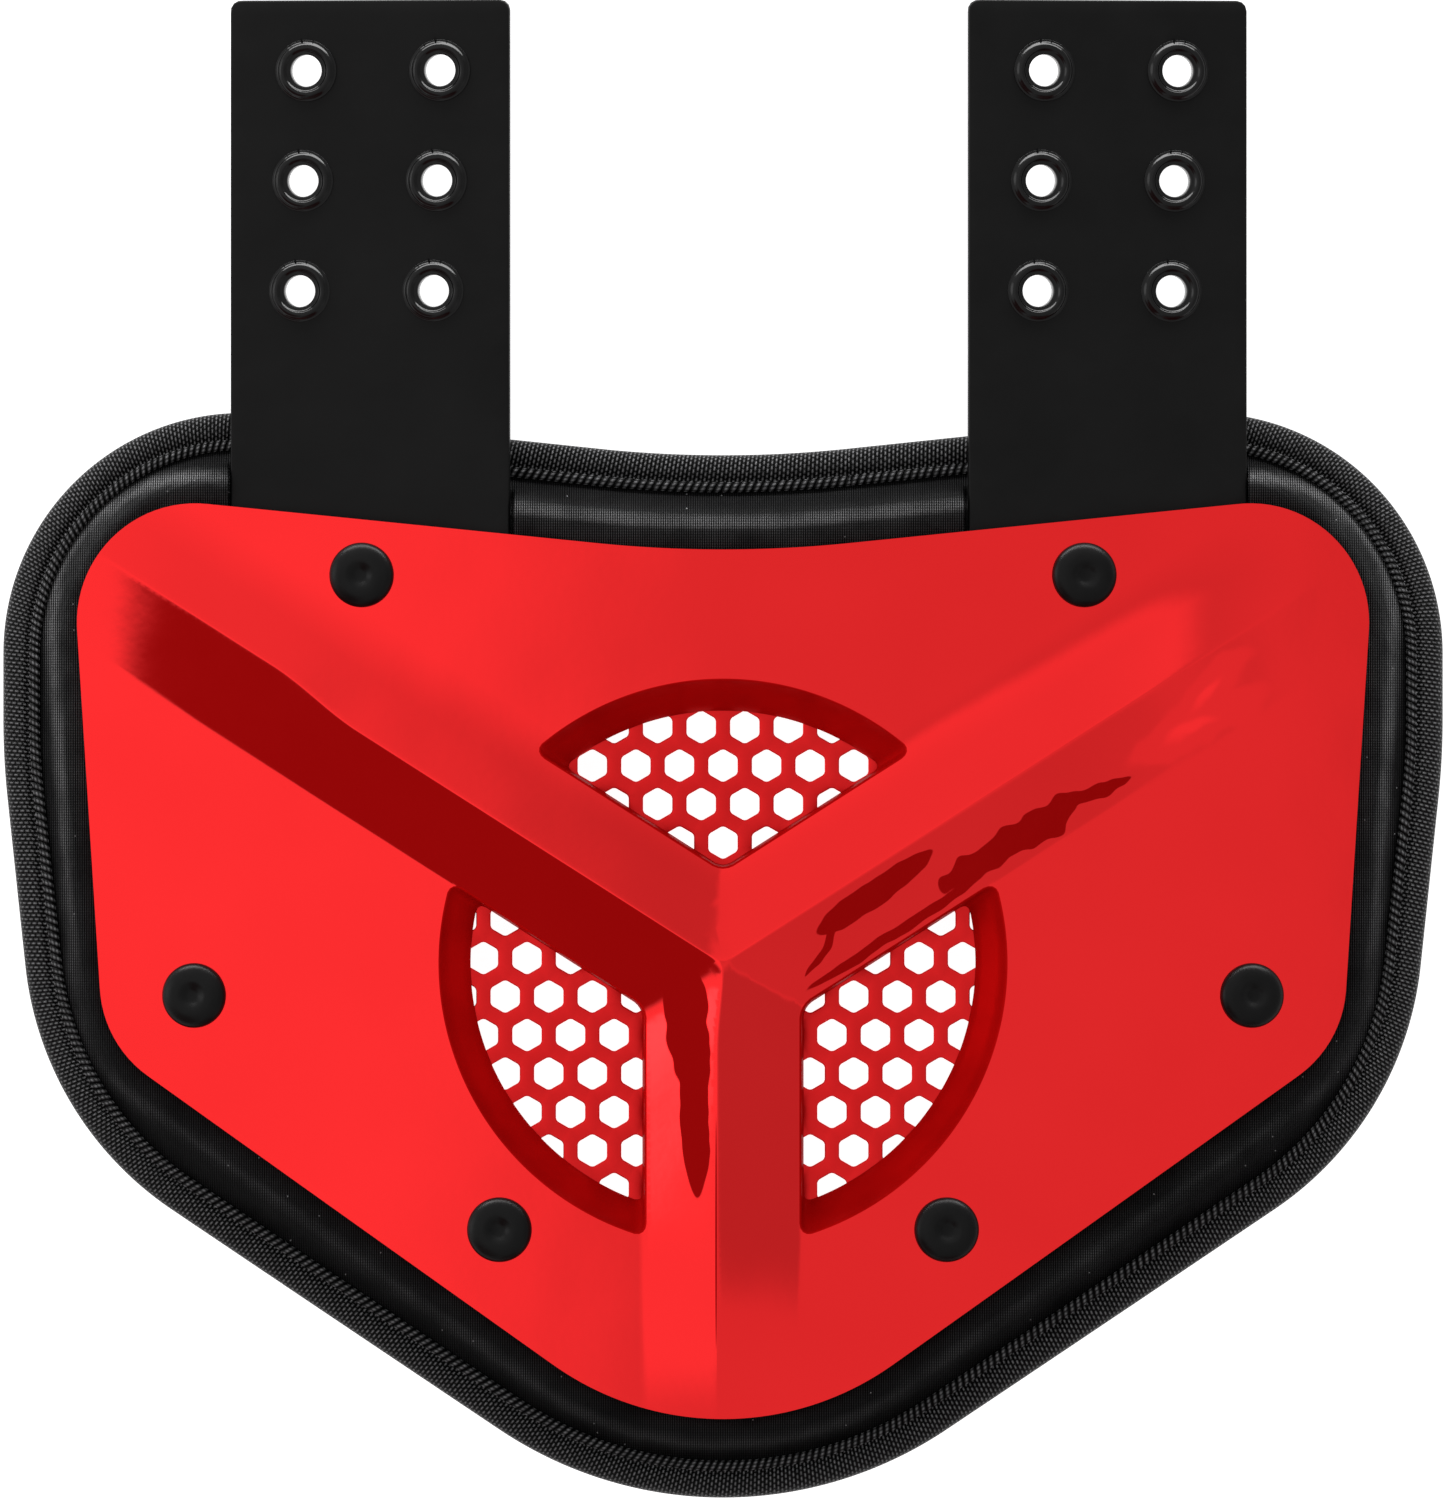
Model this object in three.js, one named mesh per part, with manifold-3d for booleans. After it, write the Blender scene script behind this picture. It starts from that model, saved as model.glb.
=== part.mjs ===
// A football back plate: a moulded plate with a raised Y and three vent windows, riveted over a
// bound foam pad, with two straps of eyelets standing up from its top edge.
// Millimetres. +X is the right of the side that shows, +Y is up the wearer's back, and +Z faces
// out of the plate. Plan places are taken from the hub, where the three arms of the Y meet.

import * as THREE from "three";
import { mergeVertices } from "three/addons/utils/BufferGeometryUtils.js";
import Module from "manifold-3d";

const wasm = await Module();
wasm.setup();

// Clearance
const gap = 0.3; // between pieces that touch
const cutOver = 5; // how far a cutter runs past what it cuts

// The arch: every layer bends over one cylinder that lies along the wearer's spine
const archRadius = 560;
const archStep = 30; // width of each flat strip of the bend

// Face plate
const plateWidth = 297.6; // between its upper corners, before they are rounded
const plateHeight = 225.6; // from its upper corners to its lowest corner, before rounding
const plateThickness = 2.6;
const plateEdgeRound = 0.8;
// Right half of its outline, from the middle of the top edge down
const plateRows = [
  { across: 0, up: 0.409, radius: 0.951 },
  { across: 1, up: 0.476, radius: 0.0907 },
  { across: 0.946, up: -0.082, radius: 0.0874 },
  { across: 0, up: -0.524, radius: 0.2235 },
];

// The raised Y
const armHalfWidth = 17.8;
const ridgeHeight = 10.5; // of the crest above the plate, at the hub
const crestFlat = 1.6; // half the width of the crest's blunt top
const shellWall = 2.4;
const tipSink = 0.1; // how far an arm's far end dips below the plate's surface
const armRows = [
  { angle: 32.5, length: 155, fade: 9 },
  { angle: 147.5, length: 155, fade: 9 },
  { angle: 270, length: 103, fade: 14 },
];
// Height of the crest along an arm, as shares of the way to its fade and of ridgeHeight
const crestRows = [
  { along: 0, height: 1 },
  { along: 0.4, height: 0.87 },
  { along: 1, height: 0.66 },
];

// Vent windows: a round dish that the arms cross
const rimRadius = 64; // at the plate's surface
const dishSlope = 7; // how far the dish's wall leans in on its way down
const windowDepth = 9; // from the plate's surface to the flat grille, at the hub
const windowWall = 2;

// Grille
const grilleThickness = 2;
const holePitch = 9.88; // along a row
const rowPitch = 8.73;
const holeWidth = 6.6; // between the flats of a hole
const holeHeight = 7.6; // between its points
const firstRowUp = 44.77; // of the row that has a hole on the plate's middle line

// Foam pad
const padThickness = 12;
const sideMargin = 15.2; // pad past the plate, at the sides
const endMargin = 22.6; // pad past the plate, at the top and bottom
const flangeThickness = 3.4; // the pressed rim that the binding holds
const foamRise = 4; // from the binding to where the foam is at its full thickness
const beadHeight = 1.2; // of the puffed rim round the plate, above the foam
const beadOffset = 4; // from the plate's edge to the top of that rim
// Right half of its outline, from the middle of the top edge down
const padRows = [
  { across: 0, up: 0.42, radius: 0.817 },
  { across: 1, up: 0.4838, radius: 0.1665 },
  { across: 1, up: 0.1713, radius: 0.515 },
  { across: 0.946, up: -0.1344, radius: 0.2323 },
  { across: 0, up: -0.5162, radius: 0.2787 },
];

// Edge binding: one tape folded over the rim of the pad
const tapeWidth = 8.5; // of each side of the fold
const tapeThickness = 1;
// Its front from the fold inwards, as shares of tapeWidth and of tapeThickness
const tapeFrontRows = [
  { inset: 0, rise: -0.8 },
  { inset: 0.2, rise: 1.2 },
  { inset: 0.68, rise: 0.6 },
  { inset: 0.85, rise: 1.1 },
  { inset: 1, rise: 0.7 },
];

// Straps
const strapWidth = 64;
const strapThickness = 2.5;
const strapSpacing = 166.8; // between their middle lines
const strapShift = 3.6; // both stand this far to the right of the plate's middle
const strapReach = 117.7; // from the plate's top edge to their tops
const strapTuck = 38; // from the plate's top edge to their hidden feet
const strapCorner = 2.3;
const strapCornerSteps = 2;
const strapClear = 17; // bare band below the eyelets
const strapClearDrop = 1; // from the lowest eyelets to that band

// Eyelets: rows of two on each strap
const eyeletRowCount = 3;
const eyeletColumns = 30.7; // between the two columns
const eyeletRows = 25; // between rows
const eyeletTop = 16; // from the strap's top to the first row
const eyeletLean = 1.7; // degrees that the columns lean to the right
const eyeletBore = 7.2;
const eyeletWall = 0.7;
const eyeletFlange = 14;
const eyeletRise = 1.2; // of the front flange above the strap
const eyeletBackFlange = 12.4;
const eyeletBackRise = 0.8;

// Rivets
const rivetHead = 14.8;
const rivetHeadRise = 2.6;
// A head from its rim to the dent in its middle, as shares of its radius and of its rise
const rivetHeadRows = [
  { across: 1, rise: 0 },
  { across: 0.85, rise: 0.7 },
  { across: 0.5, rise: 1 },
  { across: 0.31, rise: 0.97 },
  { across: 0, rise: 0.7 },
];
const rivetShank = 5;
const rivetFoot = 15;
const rivetFootThickness = 1.4;
const strapRivetDrop = 12.6; // from the plate's top edge to the rivets of the straps
const strapRivetSpacing = 163.8;
const sideRivetInset = 28.8; // from the plate's corner line
const sideRivetDrop = 7.4; // below the hub
const lowRivetOut = 14.8; // from the rim of the windows
const lowRivetAngle = 50; // degrees below the level of the hub

// How finely round stretches are cut
const arcTurn = 18; // degrees
const outlineStep = 25;
const dishSides = 44;
const roundSides = 10;

// Levels above the pad's back, measured before the layers are bent
const plateSeat = padThickness + gap;
const plateTop = plateSeat + plateThickness;
const grilleTop = plateTop - windowDepth;
const dishFloor = grilleTop + gap;
const grilleBottom = grilleTop - grilleThickness;
const ventRadius = rimRadius + windowWall + gap;
const flangeBottom = tapeThickness + gap;
const flangeTop = flangeBottom + flangeThickness;
const tapeFront = flangeTop + gap;

const radians = THREE.MathUtils.degToRad;

const finishes = {
  foam: new THREE.MeshStandardMaterial({ color: 0x18181a, roughness: 0.85 }),
  tape: new THREE.MeshStandardMaterial({ color: 0x202022, roughness: 0.7 }),
  redGloss: new THREE.MeshStandardMaterial({ color: 0xe4262a, roughness: 0.16, metalness: 0.6 }),
  strap: new THREE.MeshStandardMaterial({ color: 0x1b1b1b, roughness: 0.5 }),
  eyelet: new THREE.MeshStandardMaterial({ color: 0x141416, roughness: 0.25, metalness: 0.8 }),
  rivet: new THREE.MeshStandardMaterial({ color: 0x17181a, roughness: 0.4 }),
};

// Meshes and solids

// A closed mesh from triangles of points, turned to face out
function meshOf(triangles) {
  const fromAxis = new THREE.Vector3();
  let volume = 0;
  for (const [a, b, c] of triangles) {
    volume += fromAxis.crossVectors(a, b).dot(c);
  }
  const facing = volume < 0 ? triangles.map(([a, b, c]) => [a, c, b]) : triangles;
  return new THREE.BufferGeometry().setFromPoints(facing.flat());
}

function solidOf(geometry) {
  const bare = geometry.clone();
  bare.deleteAttribute("normal");
  bare.deleteAttribute("uv");
  const merged = mergeVertices(bare, 1e-4);
  const vertProperties = merged.attributes.position.array;
  const triVerts = new Uint32Array(merged.index.array);
  return new wasm.Manifold(new wasm.Mesh({ numProp: 3, vertProperties, triVerts }));
}

function geometryOf(solid) {
  const mesh = solid.getMesh();
  const geometry = new THREE.BufferGeometry();
  geometry.setAttribute("position", new THREE.BufferAttribute(mesh.vertProperties, 3));
  geometry.setIndex(new THREE.BufferAttribute(mesh.triVerts, 1));
  return geometry.toNonIndexed();
}

// A closed mesh through rings of points: capped at both ends, or joined last to first
function loft(rings, joined) {
  const triangles = [];
  const count = rings[0].length;
  const spans = joined ? rings.length : rings.length - 1;
  for (let i = 0; i < spans; i++) {
    const near = rings[i];
    const far = rings[(i + 1) % rings.length];
    for (let j = 0; j < count; j++) {
      const k = (j + 1) % count;
      triangles.push([near[j], near[k], far[k]]);
      triangles.push([near[j], far[k], far[j]]);
    }
  }
  if (!joined) {
    const first = rings[0];
    const last = rings[rings.length - 1];
    for (let j = 1; j < count - 1; j++) {
      triangles.push([first[0], first[j + 1], first[j]]);
      triangles.push([last[0], last[j], last[j + 1]]);
    }
  }
  return meshOf(triangles);
}

function block(low, high) {
  const geometry = new THREE.BoxGeometry(high.x - low.x, high.y - low.y, high.z - low.z);
  return geometry.translate((low.x + high.x) / 2, (low.y + high.y) / 2, (low.z + high.z) / 2);
}

// A turned solid about Z from rows of radius and level
function turned(rows, sides) {
  const points = rows.map(([radius, level]) => new THREE.Vector2(radius, level));
  return new THREE.LatheGeometry(points, sides).rotateX(Math.PI / 2);
}

// A round rod along Z
function rod(radius, low, high) {
  return turned([[0, low], [radius, low], [radius, high], [0, high]], roundSides);
}

// The bend

function circleHeight(x) {
  return Math.sqrt(archRadius ** 2 - x ** 2) - archRadius;
}

// The flat strip of the bend that x lies in: where it starts and ends
function stripAt(x) {
  const start = (Math.floor(x / archStep - 0.5) + 0.5) * archStep;
  return [start, start + archStep];
}

function archSlope(x) {
  const [start, end] = stripAt(x);
  return (circleHeight(end) - circleHeight(start)) / archStep;
}

function archHeight(x) {
  const [start] = stripAt(x);
  return circleHeight(start) + archSlope(x) * (x - start);
}

// Splits a flat polygon at one x: the part before it and the part after it
function splitAt(polygon, x) {
  const before = [];
  const after = [];
  polygon.forEach((point, i) => {
    const next = polygon[(i + 1) % polygon.length];
    if (point.x <= x) before.push(point);
    if (point.x >= x) after.push(point);
    if ((point.x - x) * (next.x - x) < 0) {
      const [low, high] = point.x < next.x ? [point, next] : [next, point];
      const crossing = low.clone().lerp(high, (x - low.x) / (high.x - low.x));
      crossing.x = x;
      before.push(crossing);
      after.push(crossing);
    }
  });
  return [before, after];
}

// Splits a mesh's triangles at the edges of the flat strips
function intoStrips(geometry) {
  const place = geometry.attributes.position;
  const points = [];
  for (let i = 0; i < place.count; i += 3) {
    let rest = [0, 1, 2].map((k) => new THREE.Vector3().fromBufferAttribute(place, i + k));
    const furthest = Math.max(...rest.map((point) => point.x));
    const nearest = Math.min(...rest.map((point) => point.x));
    for (let x = stripAt(nearest)[1]; x < furthest; x += archStep) {
      const [before, after] = splitAt(rest, x);
      points.push(...fan(before));
      rest = after;
    }
    points.push(...fan(rest));
  }
  return new THREE.BufferGeometry().setFromPoints(points);
}

// Bends a mesh over the arch by its points alone
function overArch(geometry) {
  const bent = geometry.clone();
  const place = bent.attributes.position;
  for (let i = 0; i < place.count; i++) {
    place.setZ(i, place.getZ(i) + archHeight(place.getX(i)));
  }
  return bent;
}

function fan(polygon) {
  const corners = [];
  for (let i = 1; i < polygon.length - 1; i++) {
    corners.push(polygon[0], polygon[i], polygon[i + 1]);
  }
  return corners;
}

// A group that stands square to a slope of the bend, its own origin at one level over a plan place
function standing(x, y, level, slope) {
  const group = new THREE.Group();
  group.position.set(x, y, level + archHeight(x));
  group.rotation.y = Math.atan(-slope);
  group.updateMatrix();
  return group;
}

// Outlines

// The corners of a whole outline, anticlockwise, from the rows of its right half
function outlineCorners(rows, width, height) {
  const half = rows.map((row) => ({
    place: new THREE.Vector2((row.across * width) / 2, row.up * height),
    radius: row.radius * width,
  }));
  const right = half.slice(1, -1);
  const left = right.map(({ place, radius }) => ({
    place: new THREE.Vector2(-place.x, place.y),
    radius,
  }));
  return [half[0], ...left, half[half.length - 1], ...right.reverse()];
}

// Points round an outline, with its corners rounded, moved inwards by an inset
function outlinePoints(corners, inset = 0) {
  const points = [];
  corners.forEach(({ place, radius }, i) => {
    const back = corners.at(i - 1).place.clone().sub(place).normalize();
    const ahead = corners[(i + 1) % corners.length].place.clone().sub(place).normalize();
    const inward = back.clone().add(ahead).normalize();
    const halfSine = Math.abs(inward.cross(ahead));
    const centre = place.clone().addScaledVector(inward, radius / halfSine);
    const outward = ahead.cross(back) > 0;
    const turn = Math.PI - 2 * Math.asin(halfSine);
    const bend = outward ? turn : -turn;
    const size = outward ? radius - inset : radius + inset;
    const middle = inward.angle() + Math.PI;
    const steps = Math.ceil(Math.max(turn / radians(arcTurn), (turn * radius) / outlineStep));
    for (let step = 0; step <= steps; step++) {
      const angle = middle + bend * (step / steps - 0.5);
      points.push(new THREE.Vector2(Math.cos(angle), Math.sin(angle)).multiplyScalar(size).add(centre));
    }
  });
  return points;
}

// Directions from the hub that meet an outline at its points and at even steps between them
function directionsTo(points) {
  const directions = [];
  points.forEach((point, i) => {
    const next = points[(i + 1) % points.length];
    const steps = Math.ceil(point.distanceTo(next) / outlineStep);
    for (let step = 0; step < steps; step++) {
      directions.push(point.clone().lerp(next, step / steps).normalize());
    }
  });
  return directions;
}

// Where a line from the hub meets an outline
function meeting(points, direction) {
  let reach = 0;
  points.forEach((point, i) => {
    const side = points[(i + 1) % points.length].clone().sub(point);
    const across = direction.cross(side);
    const share = point.cross(direction) / across;
    if (share > -1e-6 && share < 1 + 1e-6) reach = Math.max(reach, point.cross(side) / across);
  });
  return direction.clone().multiplyScalar(reach);
}

function shapeOf(points) {
  return new THREE.Shape(points);
}

const plateCorners = outlineCorners(plateRows, plateWidth, plateHeight);
const padWidth = plateWidth + 2 * sideMargin;
const padHeight = plateHeight + 2 * endMargin;
const padCorners = outlineCorners(padRows, padWidth, padHeight);
const directions = directionsTo(outlinePoints(plateCorners));

// Rings of points that follow the pad's outline, the plate's outline or a circle
function padRing(inset, level) {
  const points = outlinePoints(padCorners, inset);
  return directions.map((way) => {
    const { x, y } = meeting(points, way);
    return new THREE.Vector3(x, y, level);
  });
}

function plateRing(inset, level) {
  const points = outlinePoints(plateCorners, inset);
  return directions.map((way) => {
    const { x, y } = meeting(points, way);
    return new THREE.Vector3(x, y, level);
  });
}

function ventRing(level) {
  return directions.map((way) => new THREE.Vector3(way.x * ventRadius, way.y * ventRadius, level));
}

function ringBetween(ring, other) {
  return ring.map((point, i) => point.clone().lerp(other[i], 0.5));
}

// Height of the plate's top edge over the hub, at one place across it
function plateTopEdge(x) {
  const points = outlinePoints(plateCorners);
  let height = 0;
  points.forEach((point, i) => {
    const next = points[(i + 1) % points.length];
    if ((point.x - x) * (next.x - x) > 0) return;
    const share = (x - point.x) / (next.x - point.x || 1);
    height = Math.max(height, point.y + (next.y - point.y) * share);
  });
  return height;
}

// Straps and rivets: where they stand

// A flat strap lies along the chord of the arch across its own width
const straps = [-1, 1].map((side) => {
  const x = strapShift + (side * strapSpacing) / 2;
  const edge = plateTopEdge(strapSpacing / 2);
  const [left, right] = [x - strapWidth / 2, x + strapWidth / 2].map(archHeight);
  const bulge = archHeight(x) - (left + right) / 2;
  return {
    name: side < 0 ? "left" : "right",
    x,
    top: edge + strapReach,
    foot: edge - strapTuck,
    bulge,
    seat: plateSeat - gap - bulge - strapThickness,
    slope: (right - left) / strapWidth,
  };
});

function strapStand({ x, seat, slope }) {
  return standing(x, 0, seat, slope);
}

// A rivet's own origin is in the plate's surface, and its depth is from there to the pad's back
function rivetAt(name, x, y, strap) {
  const slope = strap ? strap.slope : archSlope(x);
  return { name, x, y, slope, depth: plateTop * Math.cos(Math.atan(slope)), strap };
}

const rivets = straps.flatMap((strap) => {
  const side = strap.name === "left" ? -1 : 1;
  const strapRivetX = (side * strapRivetSpacing) / 2;
  const strapRivetY = plateTopEdge(strapRivetX) - strapRivetDrop;
  const sideRivetX = side * (plateWidth / 2 - sideRivetInset);
  const lowRadius = rimRadius + lowRivetOut;
  const lowRivetX = side * lowRadius * Math.cos(radians(lowRivetAngle));
  const lowRivetY = -lowRadius * Math.sin(radians(lowRivetAngle));
  return [
    rivetAt("rivet_strap_" + strap.name, strapRivetX, strapRivetY, strap),
    rivetAt("rivet_side_" + strap.name, sideRivetX, -sideRivetDrop),
    rivetAt("rivet_low_" + strap.name, lowRivetX, lowRivetY),
  ];
});

function rivetStand({ x, y, slope }) {
  return standing(x, y, plateTop, slope);
}

// Cuts holes for every rivet: a round hole, and a seat for its foot in the pad's back
function cutForRivets(solid, withSeats) {
  let cut = solid;
  for (const rivet of rivets) {
    const place = rivetStand(rivet).matrix;
    const start = -rivet.depth - cutOver;
    const hole = rod(rivetShank / 2 + gap, start, cutOver).applyMatrix4(place);
    cut = cut.subtract(solidOf(hole));
    if (!withSeats) continue;
    const seatTop = -rivet.depth + rivetFootThickness + 2 * gap;
    const seat = rod(rivetFoot / 2 + gap, start, seatTop).applyMatrix4(place);
    cut = cut.subtract(solidOf(seat));
  }
  return cut;
}

// Pieces

function makeBackPad() {
  const top = padThickness;
  const backRim = padRing(tapeWidth + foamRise / 2, 0);
  const frontRim = plateRing(2 * gap, top);
  const rings = [
    ventRing(0),
    ringBetween(ventRing(0), backRim),
    backRim,
    padRing(tapeWidth + 2 * gap, flangeBottom),
    padRing(tapeThickness + gap, flangeBottom),
    padRing(tapeThickness + gap, flangeTop),
    padRing(tapeWidth + 2 * gap, flangeTop),
    padRing(tapeWidth + foamRise / 2, (flangeTop + top) / 2),
    padRing(tapeWidth + foamRise, top),
    plateRing(-beadOffset, top + beadHeight),
    frontRim,
    ringBetween(ventRing(top), frontRim),
    ventRing(top),
  ];
  let pad = solidOf(loft(rings, true));
  for (const { x, foot, top: strapEnd, seat, bulge } of straps) {
    const half = strapWidth / 2 + gap;
    const low = new THREE.Vector3(x - half, foot - gap, seat - gap - bulge);
    const high = new THREE.Vector3(x + half, strapEnd, plateTop + cutOver);
    pad = pad.subtract(solidOf(block(low, high)));
  }
  return geometryOf(cutForRivets(solidOf(overArch(geometryOf(pad))), true));
}

function makeEdgeBinding() {
  const back = [
    padRing(tapeWidth, tapeFront),
    padRing(tapeThickness, tapeFront),
    padRing(tapeThickness, tapeThickness),
    padRing(tapeWidth, tapeThickness),
    padRing(tapeWidth, 0),
    padRing(tapeThickness, 0),
    padRing(0, tapeThickness),
  ];
  const front = tapeFrontRows.map(({ inset, rise }) =>
    padRing(inset * tapeWidth, tapeFront + rise * tapeThickness),
  );
  return overArch(loft([...back, ...front], true));
}

// An arm of the Y as a bar from the hub outwards, whose roof is lowered by a drop
function armBar({ angle, length, fade }, halfWidth, drop, floor) {
  const way = new THREE.Vector2(1, 0).rotateAround(new THREE.Vector2(), radians(angle));
  const stations = crestRows.map((row) => ({
    along: row.along * (length - fade),
    height: row.height * ridgeHeight,
  }));
  stations.push({ along: length, height: -tipSink });
  const rings = stations.map(({ along, height }) => {
    const fall = height / armHalfWidth;
    const blunt = plateTop + height - fall * crestFlat - drop;
    const base = plateTop + height - fall * halfWidth - drop;
    const section = [
      [-halfWidth, floor],
      [halfWidth, floor],
      [halfWidth, base],
      [crestFlat, blunt],
      [-crestFlat, blunt],
      [-halfWidth, base],
    ];
    return section.map(
      ([across, level]) =>
        new THREE.Vector3(way.x * along - way.y * across, way.y * along + way.x * across, level),
    );
  });
  return loft(rings, false);
}

// What an arm keeps clear of the windows: a wall-sided bar from the hub to past the rim
function armKeep({ angle }) {
  const low = new THREE.Vector3(0, -armHalfWidth, dishFloor - 2 * cutOver);
  const high = new THREE.Vector3(rimRadius + 2 * cutOver, armHalfWidth, plateTop + 2 * cutOver);
  return solidOf(block(low, high).rotateZ(radians(angle)));
}

function makeFacePlate() {
  const slabShape = shapeOf(outlinePoints(plateCorners));
  const slab = new THREE.ExtrudeGeometry(slabShape, {
    depth: plateThickness - 2 * plateEdgeRound,
    bevelThickness: plateEdgeRound,
    bevelSize: plateEdgeRound,
    bevelOffset: -plateEdgeRound,
    bevelSegments: 2,
  }).translate(0, 0, plateSeat + plateEdgeRound);
  let plate = solidOf(slab);
  for (const arm of armRows) {
    plate = plate.add(solidOf(armBar(arm, armHalfWidth, 0, plateSeat + plateThickness / 2)));
  }
  plate = solidOf(overArch(intoStrips(geometryOf(plate))));
  plate = plate.add(makeDish()).subtract(makeWindows());
  for (const arm of armRows) {
    const hollow = armBar(arm, armHalfWidth - windowWall, shellWall, dishFloor - cutOver);
    plate = plate.subtract(solidOf(overArch(intoStrips(hollow))));
  }
  return geometryOf(cutForRivets(plate, false));
}

// A ring of points round the hub, level or lying on a layer of the bend
function dishRing(radius, level, bent) {
  const ring = [];
  for (let i = 0; i < dishSides; i++) {
    const angle = (i / dishSides) * 2 * Math.PI;
    const x = radius * Math.cos(angle);
    const y = radius * Math.sin(angle);
    ring.push(new THREE.Vector3(x, y, level + (bent ? archHeight(x) : 0)));
  }
  return ring;
}

// The dish in the plate's back, from its flat floor up to the plate
function makeDish() {
  const drum = loft([
    dishRing(rimRadius - dishSlope + windowWall, dishFloor),
    dishRing(rimRadius + windowWall, plateTop, true),
    dishRing(rimRadius + windowWall, plateTop + cutOver),
  ], false);
  const low = new THREE.Vector3(-plateWidth / 2, -plateHeight / 2, -plateTop);
  const high = new THREE.Vector3(plateWidth / 2, plateHeight / 2, plateTop - plateEdgeRound);
  const layer = intoStrips(block(low, high).toNonIndexed());
  return solidOf(drum).intersect(solidOf(overArch(layer)));
}

// The air of the windows: the dish's inside, less the arms
function makeWindows() {
  const floorRadius = rimRadius - dishSlope;
  const inside = loft([
    dishRing(floorRadius, dishFloor - cutOver),
    dishRing(floorRadius, dishFloor),
    dishRing(rimRadius, plateTop, true),
    dishRing(rimRadius, plateTop + cutOver),
  ], false);
  let windows = solidOf(inside);
  for (const arm of armRows) windows = windows.subtract(armKeep(arm));
  return windows;
}

// Distance from a plan place to the middle line of an arm, or Infinity behind the hub
function offArm({ angle }, place) {
  const turnedBack = place.clone().rotateAround(new THREE.Vector2(), -radians(angle));
  return turnedBack.x < 0 ? Infinity : Math.abs(turnedBack.y);
}

function makeGrille() {
  const radius = ventRadius - 2 * gap;
  const sheet = new THREE.Shape().absarc(0, 0, radius, 0, 2 * Math.PI);
  const showing = rimRadius - dishSlope + holeHeight / 2;
  const firstRow = Math.ceil((-radius - firstRowUp) / rowPitch);
  const lastRow = Math.floor((radius - firstRowUp) / rowPitch);
  const columns = Math.ceil(radius / holePitch);
  for (let row = firstRow; row <= lastRow; row++) {
    for (let column = -columns; column <= columns; column++) {
      const x = (column + (row % 2 ? 0.5 : 0)) * holePitch;
      const centre = new THREE.Vector2(x, firstRowUp + row * rowPitch);
      const nearest = Math.min(...armRows.map((arm) => offArm(arm, centre)));
      if (centre.length() > showing || nearest < armHalfWidth - holeWidth / 2) continue;
      sheet.holes.push(shapeOf(hexagon(centre)));
    }
  }
  const settings = { depth: grilleThickness, bevelEnabled: false, curveSegments: dishSides / 2 };
  return new THREE.ExtrudeGeometry(sheet, settings).translate(0, 0, grilleBottom);
}

function hexagon(centre) {
  const half = holeWidth / 2;
  const shoulder = holeHeight / 4;
  const corners = [
    [0, 2 * shoulder],
    [-half, shoulder],
    [-half, -shoulder],
    [0, -2 * shoulder],
    [half, -shoulder],
    [half, shoulder],
  ];
  return corners.map(([x, y]) => new THREE.Vector2(centre.x + x, centre.y + y));
}

function roundHole(x, y, radius) {
  const hole = [];
  for (let i = 0; i < roundSides; i++) {
    const angle = (i / roundSides) * 2 * Math.PI;
    hole.push(new THREE.Vector2(x + radius * Math.sin(angle), y + radius * Math.cos(angle)));
  }
  return hole;
}

// A flat sheet from tiles that meet edge to edge, each an outline and its holes: faces from each
// tile, and walls along the edges that no other tile shares
function tiledSheet(tiles, thickness) {
  const triangles = [];
  const edges = new Map();
  for (const { outline, holes } of tiles) {
    const corners = [...outline, ...holes.flat()];
    for (const face of THREE.ShapeUtils.triangulateShape(outline, holes)) {
      const [a, b, c] = face.map((i) => corners[i]);
      const turnsLeft = b.clone().sub(a).cross(c.clone().sub(a)) > 0;
      const [p, q, r] = turnsLeft ? [a, b, c] : [a, c, b];
      triangles.push([p, q, r].map(({ x, y }) => new THREE.Vector3(x, y, thickness)));
      triangles.push([p, r, q].map(({ x, y }) => new THREE.Vector3(x, y, 0)));
      for (const [from, to] of [[p, q], [q, r], [r, p]]) {
        const key = [from.x, from.y, to.x, to.y].join();
        const twin = [to.x, to.y, from.x, from.y].join();
        if (!edges.delete(twin)) edges.set(key, [from, to]);
      }
    }
  }
  for (const [from, to] of edges.values()) {
    const low = [from, to].map(({ x, y }) => new THREE.Vector3(x, y, 0));
    const high = [from, to].map(({ x, y }) => new THREE.Vector3(x, y, thickness));
    triangles.push([low[0], low[1], high[1]]);
    triangles.push([low[0], high[1], high[0]]);
  }
  return meshOf(triangles);
}

// Places of a strap's eyelets, in the strap's own frame
function eyeletPlaces({ top }) {
  const places = [];
  for (let row = 0; row < eyeletRowCount; row++) {
    const y = top - eyeletTop - row * eyeletRows;
    const shift = ((eyeletRowCount - 1) / 2 - row) * eyeletRows * Math.tan(radians(eyeletLean));
    for (const side of [-1, 1]) {
      places.push(new THREE.Vector2(shift + (side * eyeletColumns) / 2, y));
    }
  }
  return places;
}

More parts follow.
